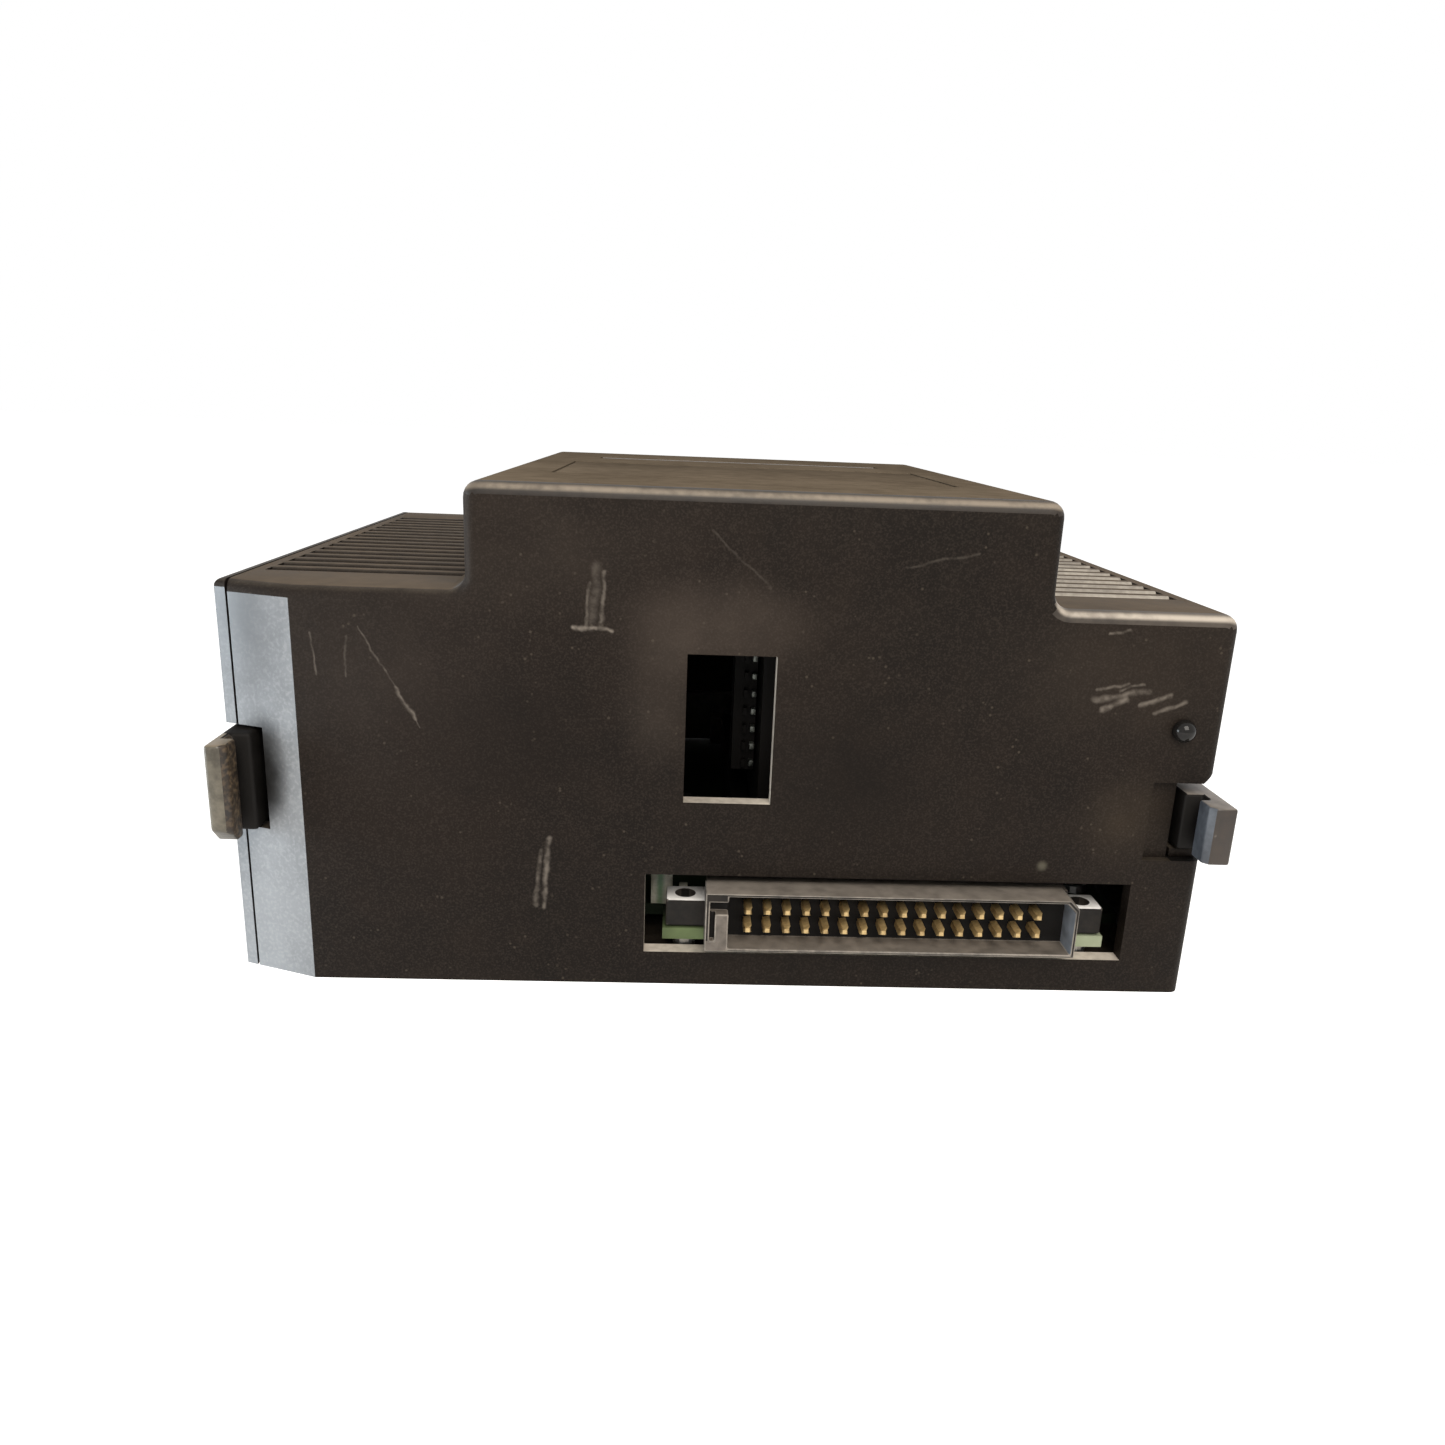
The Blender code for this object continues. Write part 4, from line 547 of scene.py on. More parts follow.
# top faces of the header and the front of the post: painted light
addFinish("headerTop", "headerTop", {
    **headerFinish,
    "dark": (0.045, 0.038, 0.032),
    "light": (0.16, 0.138, 0.118),
    "cloud": 130.0,
    "dust": (0.25, 0.22, 0.185),
})
addFinish("headerEdge", "headerEdge", {
    "dark": (0.05, 0.043, 0.037),
    "light": (0.26, 0.23, 0.195),
    "cloud": 190.0,
})
addFinish("contact_gold", "contactGold", {
    "dark": (0.3, 0.2, 0.085),
    "light": (0.62, 0.45, 0.21),
    "grain": 4000.0,
    "cloud": 300.0,
    "roughness": (0.28, 0.42),
    "metallic": 0.45,
    "bump": 0.1,
    "depth": 0.03 * mm,
})
addFinish("screw_steel", "screwSteel", {
    "dark": (0.3, 0.3, 0.3),
    "light": (0.52, 0.52, 0.5),
    "grain": 5000.0,
    "cloud": 260.0,
    "roughness": (0.28, 0.45),
    "metallic": 1.0,
    "bump": 0.12,
    "depth": 0.03 * mm,
})
# the board inside the case: painted shade, with painted light along its front edge, palest at the right
addFinish("board_laminate", "boardLaminate", {
    "dark": (0.002, 0.0045, 0.0016),
    "light": (0.0045, 0.009, 0.003),
    "grain": 2600.0,
    "cloud": 220.0,
    "roughness": (0.45, 0.6),
    "specular": 0.2,
    "bump": 0.15,
    "smudges": [
        softPatch(atPoint(22, -47, 6.5), (90, 8, 40), 1.0, (0.19, 0.25, 0.115)),
        softPatch(atPoint(51, -47, 6.5), (9, 7, 20), 1.0, (0.42, 0.46, 0.33)),
    ],
})
addFinish("chip_epoxy", "chipEpoxy", {
    "dark": (0.012, 0.012, 0.012),
    "light": (0.026, 0.026, 0.025),
    "grain": 3600.0,
    "cloud": 150.0,
    "depth": 0.03 * mm,
})
addFinish("lead", "tinnedLead", {
    "dark": (0.015, 0.017, 0.015),
    "light": (0.26, 0.28, 0.25),
    "grain": 3600.0,
    "cloud": 300.0,
    "roughness": (0.3, 0.5),
    "metallic": 0.6,
    "bump": 0.1,
    "depth": 0.02 * mm,
})
addFinish("terminal_plastic", "terminalPlastic", {
    "dark": (0.04, 0.12, 0.05),
    "light": (0.075, 0.18, 0.085),
    "grain": 2600.0,
    "cloud": 120.0,
    "roughness": (0.42, 0.56),
    "dust": (0.2, 0.22, 0.18),
    "dustAmount": 0.35,
})
addFinish("capacitor_sleeve", "capacitorSleeve", {
    "dark": (0.015, 0.022, 0.045),
    "light": (0.03, 0.042, 0.08),
    "grain": 2000.0,
    "cloud": 140.0,
    "roughness": (0.25, 0.4),
    "bump": 0.1,
    "depth": 0.03 * mm,
})
addFinish("relay_plastic", "relayPlastic", {
    "dark": (0.03, 0.07, 0.16),
    "light": (0.05, 0.1, 0.22),
    "grain": 2600.0,
    "cloud": 140.0,
    "roughness": (0.35, 0.5),
    "bump": 0.15,
})
addFinish("transformer_core", "transformerCore", {
    "dark": (0.07, 0.055, 0.03),
    "light": (0.15, 0.12, 0.075),
    "grain": 1800.0,
    "roughness": (0.45, 0.65),
    "bump": 0.3,
    "depth": 0.08 * mm,
})
# the label film: the same painted light as the top
addFinish("label_film", "labelFilm", {
    "dark": (0.104, 0.081, 0.058),
    "light": (0.168, 0.133, 0.096),
    "grain": 2800.0,
    "cloud": 60.0,
    "roughness": (0.6, 0.75),
    "specular": 0.0,
    "bump": 0.15,
    "fleck": (0.15, 0.122, 0.093),
    "fleckAmount": 0.3,
})
addFinish("guide_lens", "guideLens", {
    "dark": (0.05, 0.034, 0.024),
    "light": (0.1, 0.072, 0.05),
    "grain": 1800.0,
    "cloud": 90.0,
    "roughness": (0.3, 0.4),
    "specular": 0.05,
    "bump": 0.08,
    "depth": 0.03 * mm,
})
addFinish("stud", "studPlastic", {
    "dark": (0.005, 0.0045, 0.004),
    "light": (0.011, 0.01, 0.009),
    "cloud": 200.0,
    "roughness": (0.03, 0.06),
    "specular": 0.22,
    "bump": 0.03,
    "depth": 0.03 * mm,
})
addFinish("small_part", "smallPart", {
    "dark": (0.34, 0.33, 0.26),
    "light": (0.62, 0.61, 0.52),
    "cloud": 300.0,
    "bump": 0.1,
    "depth": 0.03 * mm,
    "smudges": [
        softPatch(atPoint(-8.0, -38, 12), (0.9, 6, 9), 1.0, (0.02, 0.13, 0.035)),
    ],
})
slotNames = {part["node"]: part["material_slot"] for part in frame["record"]["subparts"]}
for node, slotName in slotNames.items():
    nodes[node].material_slots[0].material = finishes[slotName]
for node in ("io_board", "io_chip", "board_socket"):
    nodes[node].material_slots[0].material = finishes["shade"]
print("finishes made:", len(finishes))


# mesh helpers
def addPiece(name, bm, slotName):
    mesh = bpy.data.meshes.new(name)
    bm.to_mesh(mesh)
    bm.free()
    piece = bpy.data.objects.new(name, mesh)
    bpy.context.scene.collection.objects.link(piece)
    if slotName:
        mesh.materials.append(finishes[slotName])
    return piece


def smoothPiece(piece, angle=35):
    piece.data.shade_smooth()
    piece.data.set_sharp_from_angle(angle=math.radians(angle))


def addBox(bm, low, high):
    low, high = Vector(low), Vector(high)
    place = Matrix.Translation((low + high) / 2) @ Matrix.Diagonal((*(high - low), 1.0))
    return bmesh.ops.create_cube(bm, size=1.0, matrix=place)["verts"]


def bevelParts(bm, parts, width, segments, affect):
    bmesh.ops.bevel(
        bm, geom=parts, offset=width, offset_type="OFFSET",
        segments=segments, profile=0.5, affect=affect, material=-1,
    )


# outline of corners, some with a radius, in a plane, thickened along the third axis
def drawPrism(corners, plane, low, high):
    bm = bmesh.new()
    rounds = {}
    for first, second, *radius in corners:
        vert = bm.verts.new((first, 0.0, second) if plane == "xz" else (first, second, 0.0))
        if radius and radius[0] > 0:
            rounds.setdefault(radius[0], []).append(vert)
    bm.faces.new(bm.verts)
    for radius, picked in rounds.items():
        bevelParts(bm, picked, radius, 6, "VERTICES")
    along = Vector((0, 1, 0)) if plane == "xz" else Vector((0, 0, 1))
    bmesh.ops.translate(bm, verts=bm.verts, vec=along * low)
    grown = bmesh.ops.extrude_face_region(bm, geom=bm.faces[:])["geom"]
    raised = [part for part in grown if isinstance(part, bmesh.types.BMVert)]
    bmesh.ops.translate(bm, verts=raised, vec=along * (high - low))
    bmesh.ops.recalc_face_normals(bm, faces=bm.faces)
    return bm


def everyPart(bm):
    return bm.verts[:] + bm.edges[:] + bm.faces[:]


def sliceOff(bm, point, normal):
    bmesh.ops.bisect_plane(bm, geom=everyPart(bm), plane_co=point, plane_no=normal, clear_outer=True)
    bmesh.ops.edgeloop_fill(bm, edges=[edge for edge in bm.edges if edge.is_boundary])
    bmesh.ops.recalc_face_normals(bm, faces=bm.faces)


def makeCutter(name, bm):
    return addPiece(name, bm, None)


def boxCutter(name, low, high):
    bm = bmesh.new()
    addBox(bm, low, high)
    return makeCutter(name, bm)


# round tool along Z, or turned by the place it is given
def rodCutter(name, radius, length, place, segments=32):
    bm = bmesh.new()
    bmesh.ops.create_cone(
        bm, cap_ends=True, segments=segments, radius1=radius, radius2=radius, depth=length, matrix=place
    )
    return makeCutter(name, bm)


# boolean steps are baked into the mesh and the tools removed
def carve(piece, cutters, operation="DIFFERENCE"):
    for cutter in cutters:
        step = piece.modifiers.new(cutter.name, "BOOLEAN")
        step.operation = operation
        step.solver = "EXACT"
        step.object = cutter
    bake(piece)
    for cutter in cutters:
        bpy.data.objects.remove(cutter, do_unlink=True)


# a cut that only adds edges, so that each side can have its own finish
def splitPiece(piece, place, direction):
    bm = bmesh.new()
    bm.from_mesh(piece.data)
    bmesh.ops.bisect_plane(bm, geom=everyPart(bm), plane_co=place, plane_no=direction)
    bm.to_mesh(piece.data)
    bm.free()


def bake(piece):
    bpy.context.view_layer.update()
    graph = bpy.context.evaluated_depsgraph_get()
    piece.data = bpy.data.meshes.new_from_object(piece.evaluated_get(graph))
    piece.modifiers.clear()


def bevelSharp(piece, width, segments=2, angle=40):
    step = piece.modifiers.new("softEdges", "BEVEL")
    step.width = width
    step.segments = segments
    step.limit_method = "ANGLE"
    step.angle_limit = math.radians(angle)
    bake(piece)


def stand(piece, body, *replaced):
    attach(piece, body)
    if replaced:
        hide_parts(*replaced)
    return piece


# case shell
caseForm = {
    "shoulder": 52.0 * mm,
    "raisedLeft": -32.3 * mm,
    "raisedRight": 39.7 * mm,
    "wall": 2.2 * mm,
    "rim": 1.5 * mm,
    "corner": 2.0 * mm,
    "facetRun": 10.1 * mm,
    "facetDepth": 3.7 * mm,
    "past": 3.0 * mm,
}
facetNormal = Vector((-caseForm["facetDepth"], -caseForm["facetRun"], 0.0)).normalized()
facetPoint = Vector((coverLow.x + caseForm["facetRun"], faceY, 0.0))
openingForm = {
    "window": ((-5.25, 25.8), (5.85, 45.1)),
    "cutout": ((-9.9, 4.7), (54.2, 15.8)),
    "rightSlot": ((58.75, 19.3), (66.2, 30.1), -14.4),
    "leftSlot": ((-66.2, 20.1), (-58.05, 33.7)),
    "scoop": ((55.15, 19.3), (59.05, 30.1), 1.2),
    "relief": 1.5,
    "catchRight": (61.7, 60.4),
    "catchLeft": (-61.0, -59.7),
    "catchLip": 1.2,
    "catchRoom": 7.0,
    "supplyGap": ((7.48, 7.3), (26.52, 21.9)),
    "fieldGap": ((-8.22, 7.3), (36.22, 21.9)),
}
ventForm = {
    "count": 17,
    "pitch": 4.25 * mm,
    "width": 1.7 * mm,
    "first": -34.0 * mm,
    "lip": 0.75 * mm,
    "margin": 3.3 * mm,
    "root": 2.4 * mm,
    "proud": 0.03 * mm,
    "flare": 0.1 * mm,
    "deep": 5 * mm,
    "above": 2 * mm,
    "lipShare": 0.9,
    "lipDeep": 1 * mm,
}
sinkForm = {"gap": 0.12 * mm, "flange": 1.5 * mm, "deep": 2 * mm, "side": 1 * mm, "end": 4 * mm}
studForm = {
    "x": 57.8 * mm,
    "z": 37.2 * mm,
    "bore": 1.3 * mm,
    "socket": 1.8 * mm,
    "shank": 1.0 * mm,
    "base": 0.3 * mm,
    "steps": 8,
}


def caseOutline(inset, left, floor):
    outer = max(caseForm["corner"] - inset, 0.0)
    inner = caseForm["corner"] + inset
    top = shellHigh.z - inset
    shoulder = caseForm["shoulder"] - inset
    right = shellHigh.x - inset
    return [
        (left, floor),
        (right, floor),
        (right, shoulder, outer),
        (caseForm["raisedRight"] - inset, shoulder, inner),
        (caseForm["raisedRight"] - inset, top, outer),
        (caseForm["raisedLeft"] + inset, top, outer),
        (caseForm["raisedLeft"] + inset, shoulder, inner),
        (left, shoulder),
    ]


def onRim(edge):
    ends = [vert.co for vert in edge.verts]
    if all(point.z < tiny for point in ends) or all(abs(point.x - shellLow.x) < tiny for point in ends):
        return False
    if all(point.y > farY - tiny for point in ends):
        return True
    slanted = all(abs((point - facetPoint).dot(facetNormal)) < tiny for point in ends)
    level = all(point.y < faceY + tiny for point in ends)
    return level != slanted


def wallBox(name, span, y0, y1):
    (x0, z0), (x1, z1) = span
    return boxCutter(name, (x0 * mm, y0, z0 * mm), (x1 * mm, y1, z1 * mm))


# slot whose upper edges are rounded off by its own flared top
def ventCutter(x0, x1, y):
    half, lip, top = ventForm["width"] / 2, ventForm["lip"], caseForm["shoulder"] + ventForm["proud"]
    wide, low, high = half + lip + ventForm["flare"], top - ventForm["deep"], top + ventForm["above"]
    corners = [
        (y - half, low),
        (y + half, low),
        (y + half, top, lip),
        (y + wide, top),
        (y + wide, high),
        (y - wide, high),
        (y - wide, top),
        (y - half, top, lip),
    ]
    bm = drawPrism(corners, "xz", x0, x1)
    bmesh.ops.rotate(bm, verts=bm.verts, cent=(0, 0, 0), matrix=Matrix.Rotation(math.radians(-90), 3, "Z"))
    bmesh.ops.scale(bm, verts=bm.verts, vec=(1, -1, 1))
    bmesh.ops.recalc_face_normals(bm, faces=bm.faces)
    return bm


def catchCutter(name, edges, side, z0, z1):
    lipEdge, headSide = edges[0] * mm, edges[1] * mm
    outside = side * (coverHigh.x - coverLow.x + shellHigh.x)
    lipY, roomY = farY - openingForm["catchLip"] * mm, farY - openingForm["catchRoom"] * mm
    beyond = farY + caseForm["past"]
    corners = [
        (lipEdge, beyond),
        (lipEdge, lipY),
        (headSide, lipY),
        (headSide, roomY),
        (outside, roomY),
        (outside, beyond),
    ]
    return makeCutter(name, drawPrism(corners, "xy", z0 * mm, z1 * mm))


def roundCutter(name, radius, x, z, y0, y1):
    place = Matrix.Translation((x, (y0 + y1) / 2, z)) @ Matrix.Rotation(math.radians(90), 4, "X")
    return rodCutter(name, radius, y1 - y0, place, 40)


# faces that pass the test take the finish as one more material of the piece
def paintFaces(piece, slotName, test):
    piece.data.materials.append(finishes[slotName])
    for face in piece.data.polygons:
        if test(face.center, face.normal):
            face.material_index = len(piece.data.materials) - 1


def onFacet(centre, normal):
    return normal.dot(facetNormal) > 0.995


def onTop(centre, normal):
    upward = normal.z > squarely and centre.z > shellHigh.z - near
    sunk = abs(normal.z) < 0.1 and centre.z > shellHigh.z - sinkForm["deep"]
    within = caseForm["raisedLeft"] + sinkForm["side"] < centre.x < caseForm["raisedRight"] - sinkForm["side"]
    return upward or sunk and within and abs(centre.y) < farY - sinkForm["end"]


def onShoulder(centre, normal):
    return normal.z > flush and abs(centre.z - caseForm["shoulder"]) < near


# the front rim fillet of the raised top, which takes the painted highlight
def onHighlitRim(centre, normal):
    level = centre.z > caseForm["shoulder"] + caseForm["corner"]
    return level and centre.y < faceY + caseForm["rim"] and normal.z > 0.1 and normal.y < -0.1


# the right shoulder's front rim, which takes the brighter painted highlight
def onBrightRim(centre, normal):
    beside = centre.x > caseForm["raisedRight"] and centre.z < caseForm["shoulder"] + caseForm["corner"]
    return beside and centre.y < faceY + caseForm["rim"] and normal.z > 0.1 and normal.y < -0.1


# vent lips on the right shoulder, which take the painted highlight
def onVentLip(centre, normal):
    beside = centre.x > caseForm["raisedRight"] + ventForm["root"] * ventForm["lipShare"]
    behind = centre.y > faceY + 2 * caseForm["rim"] and centre.z > caseForm["shoulder"] - ventForm["lipDeep"]
    return beside and behind and 0.2 < normal.z < flush and normal.y < -0.2


def inRecess(centre, normal):
    (x0, z0), (_, z1) = openingForm["rightSlot"][:2]
    within = centre.x > x0 * mm - tiny and z0 * mm < centre.z < z1 * mm
    return within and faceY + openingForm["scoop"][2] * mm + near < centre.y < 0.0 and normal.x < squarely


# the ledges of the window and cutout, pale cut edges, and their side faces, which take the painted highlight
def onLedge(centre, normal):
    for key in ("window", "cutout"):
        (x0, z0), (x1, z1) = openingForm[key]
        across, up = x0 * mm < centre.x < x1 * mm, z0 * mm < centre.z < z1 * mm
        inWall = faceY < centre.y < faceY + 2 * caseForm["wall"]
        if inWall and across and normal.z > squarely and abs(centre.z - z0 * mm) < near:
            return True
        edge = x0 if key == "cutout" else x1
        if inWall and up and abs(normal.x) > squarely and abs(centre.x - edge * mm) < near:
            return True
    return False


def buildShell():
    bm = drawPrism(caseOutline(0.0, shellLow.x, shellLow.z), "xz", faceY, farY)
    sliceOff(bm, facetPoint, facetNormal)
    rims = [edge for edge in bm.edges if edge.calc_face_angle(0.0) > math.radians(50) and onRim(edge)]
    bevelParts(bm, rims, caseForm["rim"], 5, "EDGES")
    shell = addPiece("caseShell", bm, "case_plastic")
    past, wall = caseForm["past"], caseForm["wall"]
    hollow = drawPrism(caseOutline(wall, shellLow.x - past, -past), "xz", faceY + wall, farY - wall)
    sliceOff(hollow, facetPoint - facetNormal * wall, facetNormal)
    carve(shell, [makeCutter("hollow", hollow)])
    vents = bmesh.new()
    for index in range(ventForm["count"]):
        y = ventForm["first"] + index * ventForm["pitch"]
        for x0, x1 in (
            (coverLow.x + ventForm["margin"], caseForm["raisedLeft"] - ventForm["root"]),
            (caseForm["raisedRight"] + ventForm["root"], shellHigh.x - ventForm["margin"]),
        ):
            slotMesh = bpy.data.meshes.new("vent")
            slot = ventCutter(x0, x1, y)
            slot.to_mesh(slotMesh)
            slot.free()
            vents.from_mesh(slotMesh)
            bpy.data.meshes.remove(slotMesh)
    carve(shell, [makeCutter("vents", vents)])
    front, behind = faceY - past, faceY + wall + past / 2
    right, left = openingForm["rightSlot"], openingForm["leftSlot"]
    scoop, studPlace = openingForm["scoop"], (studForm["x"], studForm["z"])
    tools = [
        wallBox("window", openingForm["window"], front, behind),
        wallBox("cutout", openingForm["cutout"], front, behind),
        wallBox("rightSlot", right[:2], front, right[2] * mm),
        wallBox("leftSlot", left, front, behind + caseForm["facetDepth"]),
        wallBox("scoop", scoop[:2], front, faceY + scoop[2] * mm),
        wallBox("farCutout", openingForm["cutout"], farY - wall - past / 2, farY + past),
        catchCutter("catchRight", openingForm["catchRight"], 1, right[0][1], right[1][1]),
        catchCutter("catchLeft", openingForm["catchLeft"], -1, left[0][1], left[1][1]),
        roundCutter("studBore", studForm["bore"], *studPlace, faceY - past, faceY + wall + past),
        roundCutter("studSocket", studForm["socket"], *studPlace, farY - wall - past, farY + past),
    ]
    relief, top = openingForm["relief"] * mm, right[1][1] * mm
    under = top - relief / 5
    corners = [
        (shellHigh.x - relief, under),
        (shellHigh.x + past, under),
        (shellHigh.x + past, top + relief + past),
        (shellHigh.x, top + relief),
        (shellHigh.x - relief, top),
    ]
    tools.append(makeCutter("relief", drawPrism(corners, "xz", front, right[2] * mm)))
    (y0, z0), (y1, z1) = openingForm["supplyGap"]
    inside, above = shellHigh.x - wall - past, shellHigh.z + past
    tools.append(boxCutter("supplyGap", (inside, y0 * mm, z0 * mm), (shellHigh.x + past, y1 * mm, z1 * mm)))
    gap = sinkForm["gap"]
    low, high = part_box("label_plate")
    tools.append(
        boxCutter("labelSink", (low.x - gap, low.y - gap, low.z - gap), (high.x + gap, high.y + gap, above))
    )
    low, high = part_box("light_guide")
    edge = sinkForm["flange"] - gap
    bottom = shellHigh.z - wall - past
    corner = (high.x - edge, high.y - edge, above)
    tools.append(boxCutter("guideSink", (low.x + edge, low.y + edge, bottom), corner))
    carve(shell, tools)
    # facet: painted sheen; ledges: pale cut edges with painted highlights; top and shoulders: painted light;
    # rims and right vent lips: painted highlights; latch recess: painted shade
    for slotName, test in (
        ("facet", onFacet),
        ("ledge", onLedge),
        ("top", onTop),
        ("shoulder", onShoulder),
        ("rim", onHighlitRim),
        ("brightRim", onBrightRim),
        ("lip", onVentLip),
        ("shade", inRecess),
    ):
        paintFaces(shell, slotName, test)
    smoothPiece(shell)
    return stand(shell, "case", "case_shell")


buildShell()
print("case shell built")


# end cover
coverForm = {
    "thick": 1.5 * mm,
    "round": 1.0 * mm,
    "screwHole": 1.2 * mm,
    "slotEnd": -15.6 * mm,
    "slotInside": -58.4 * mm,
}


def buildCover():
    bm = bmesh.new()
    addBox(bm, (coverLow.x, faceY, 0.0), (coverLow.x + coverForm["thick"], farY, caseForm["shoulder"]))
    sliceOff(bm, facetPoint, facetNormal)
    edges = []
    for edge in bm.edges:
        level = all(vert.co.z > caseForm["shoulder"] - tiny for vert in edge.verts)
        inside = all(vert.co.x > coverLow.x + coverForm["thick"] - near for vert in edge.verts)
        if level and not inside:
            edges.append(edge)
    bevelParts(bm, edges, coverForm["round"], 5, "EDGES")
    cover = addPiece("endCover", bm, "case_plastic")
    past = caseForm["past"]
    left = openingForm["leftSlot"]
    (y0, z0), (y1, z1) = openingForm["fieldGap"]
    tools = [
        boxCutter(
            "coverSlot",
            (coverLow.x - past, faceY - past, left[0][1] * mm),
            (coverForm["slotInside"], coverForm["slotEnd"], left[1][1] * mm),
        ),
        boxCutter("fieldGap", (coverLow.x - past, y0 * mm, z0 * mm), (coverLow.x + past, y1 * mm, z1 * mm)),
        catchCutter("coverCatch", openingForm["catchLeft"], -1, left[0][1], left[1][1]),
    ]
    for name in ("cover_screw_1", "cover_screw_2"):
        low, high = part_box(name)
        middle = (low + high) / 2
        place = Matrix.Translation((coverLow.x, middle.y, middle.z))
        place = place @ Matrix.Rotation(math.radians(90), 4, "Y")
        tools.append(rodCutter(name + "Hole", coverForm["screwHole"], past * 2, place))
    carve(cover, tools)
    # the cover's facet takes the same painted sheen
    paintFaces(cover, "facet", onFacet)
    smoothPiece(cover)
    return stand(cover, "case", "end_cover")


buildCover()
print("end cover built")


# latches
latchForm = {"head": 3.5 * mm, "notch": 1.8 * mm, "cut": 1.3 * mm, "stem": 1.0 * mm, "chamfer": 0.8 * mm}
rightForm = {
    "outer": 64.1 * mm,
    "inner": 60.7 * mm,
    "pivot": (61.45 * mm, -28 * mm),
    "soft": 0.3 * mm,
    "side": "latchSide",
    "shown": 3.7 * mm,
    "shaded": -0.1,
}
leftForm = {
    "outer": -62.6 * mm,
    "inner": -60.0 * mm,
    "pivot": (-60.35 * mm, -28 * mm),
    "soft": 0.45 * mm,
    "heel": 1.9 * mm,
    "slope": 1.001,  # at exactly 45 degrees the corner's bevel differs from run to run
    "side": "soiled",
    "shown": 5.2 * mm,
    "shaded": 0.5,
}
eyeForm = {"radius": 2.2 * mm, "hole": 1.1 * mm, "lower": 0.2 * mm, "through": 4 * mm}


def buildLatch(node, name, form, side, slotName):
    low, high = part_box(node)
    tip, tail = low.y, high.y
    neck = tip + latchForm["head"]
    shoulder = neck + latchForm["notch"]
    inner = form["inner"]
    stem = inner - side * latchForm["stem"]
    notch = inner + side * latchForm["cut"]
    corners = [
        (form["outer"], tip),
        (form["outer"], tail),
        (stem, tail),
        (stem, shoulder),
        (notch, shoulder),
        (notch, neck),
        (inner, neck),
        (inner, tip + latchForm["chamfer"]),
        (inner + side * latchForm["chamfer"], tip),
    ]
    bm = drawPrism(corners, "xy", low.z, high.z)
    if "heel" in form:
        sliceOff(bm, (0.0, tip + form["heel"], low.z), Vector((0.0, -1.0, -form["slope"])).normalized())
    latch = addPiece(name, bm, slotName)
    bevelSharp(latch, form["soft"], 3)
    place = Matrix.Translation((*form["pivot"], (low.z + high.z) / 2))
    tall = high.z - low.z
    carve(latch, [rodCutter(name + "Eye", eyeForm["radius"], tall - eyeForm["lower"], place, 40)], "UNION")
    carve(latch, [rodCutter(name + "Hole", eyeForm["hole"], tall + eyeForm["through"], place)])
    seen = tip + form["shown"]
    splitPiece(latch, (0, seen, 0), (0, 1, 0))

    def onStem(centre, normal):
        return centre.y > neck and (normal.x * side < form["shaded"] or normal.y < -0.4)

    # painted shade on the stem; on the inner side, painted cool light for the right latch and brown with
    # painted shade for the left
    paintFaces(latch, "shade", onStem)
    paintFaces(latch, form["side"], lambda centre, normal: centre.y < seen and normal.x * side < -0.4)
    smoothPiece(latch)
    return stand(latch, node, node)


buildLatch("right_latch", "rightLatch", rightForm, 1, "latch_plastic")
buildLatch("left_latch", "leftLatch", leftForm, -1, "smoked_plastic")
print("latches built")


# locating stud
def buildStud():
    low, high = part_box("locating_stud")
    centre = (low + high) / 2
    radius, proud = (high.x - low.x) / 2, faceY - low.y
    shank, base, end = studForm["shank"], studForm["base"], faceY - high.y
    bm = bmesh.new()
    points = [(0.0, proud)]
    for step in range(1, studForm["steps"] + 1):
        angle = math.pi / 2 * step / studForm["steps"]
        points.append((radius * math.sin(angle), base + (proud - base) * math.cos(angle)))
    points += [(shank, base), (shank, end), (0.0, end)]
    ring = [bm.verts.new((centre.x + out, faceY - rise, centre.z)) for out, rise in points]
    profile = [bm.edges.new(pair) for pair in zip(ring[:-1], ring[1:])]
    middle = (centre.x, 0.0, centre.z)
    bmesh.ops.spin(
        bm, geom=ring + profile, cent=middle, axis=(0, 1, 0), angle=math.tau, steps=40, use_merge=True
    )
    bmesh.ops.remove_doubles(bm, verts=bm.verts, dist=1e-6)
    bmesh.ops.recalc_face_normals(bm, faces=bm.faces)
    stud = addPiece("locatingStud", bm, "stud")
    smoothPiece(stud)
    return stand(stud, "case", "locating_stud")


buildStud()
print("stud built")


# bus header with its ears, and the two rows of pins
headerForm = {
    "left": -2.0 * mm,
    "right": 46.7 * mm,
    "low": 6.4 * mm,
    "high": 14.6 * mm,
    "rim": -50.0 * mm,
    "back": -45.5 * mm,
    "skin": 0.45 * mm,
    "thickEnd": 3.0 * mm,
    "thinEnd": 0.55 * mm,
    "floor": 4.0 * mm,
    "chamfer": 1.2 * mm,
    "soft": 0.18 * mm,
    "shadeStart": 0.4 * mm,
    "shadeEnd": 0.5 * mm,
    "shadePast": 0.2 * mm,
    "coolEnd": 2 * mm,
}
# the stepped post at the left end
postForm = {
    "sides": (0.6 * mm, 1.25 * mm),
    "lip": 1.25 * mm,
    "block": 1.55 * mm,
    "notch": 2.9 * mm,
    "notchDeep": 1.6 * mm,
    "notchPast": 0.4 * mm,
    "stepDeep": 1.0 * mm,
    "overlap": 0.2 * mm,
}
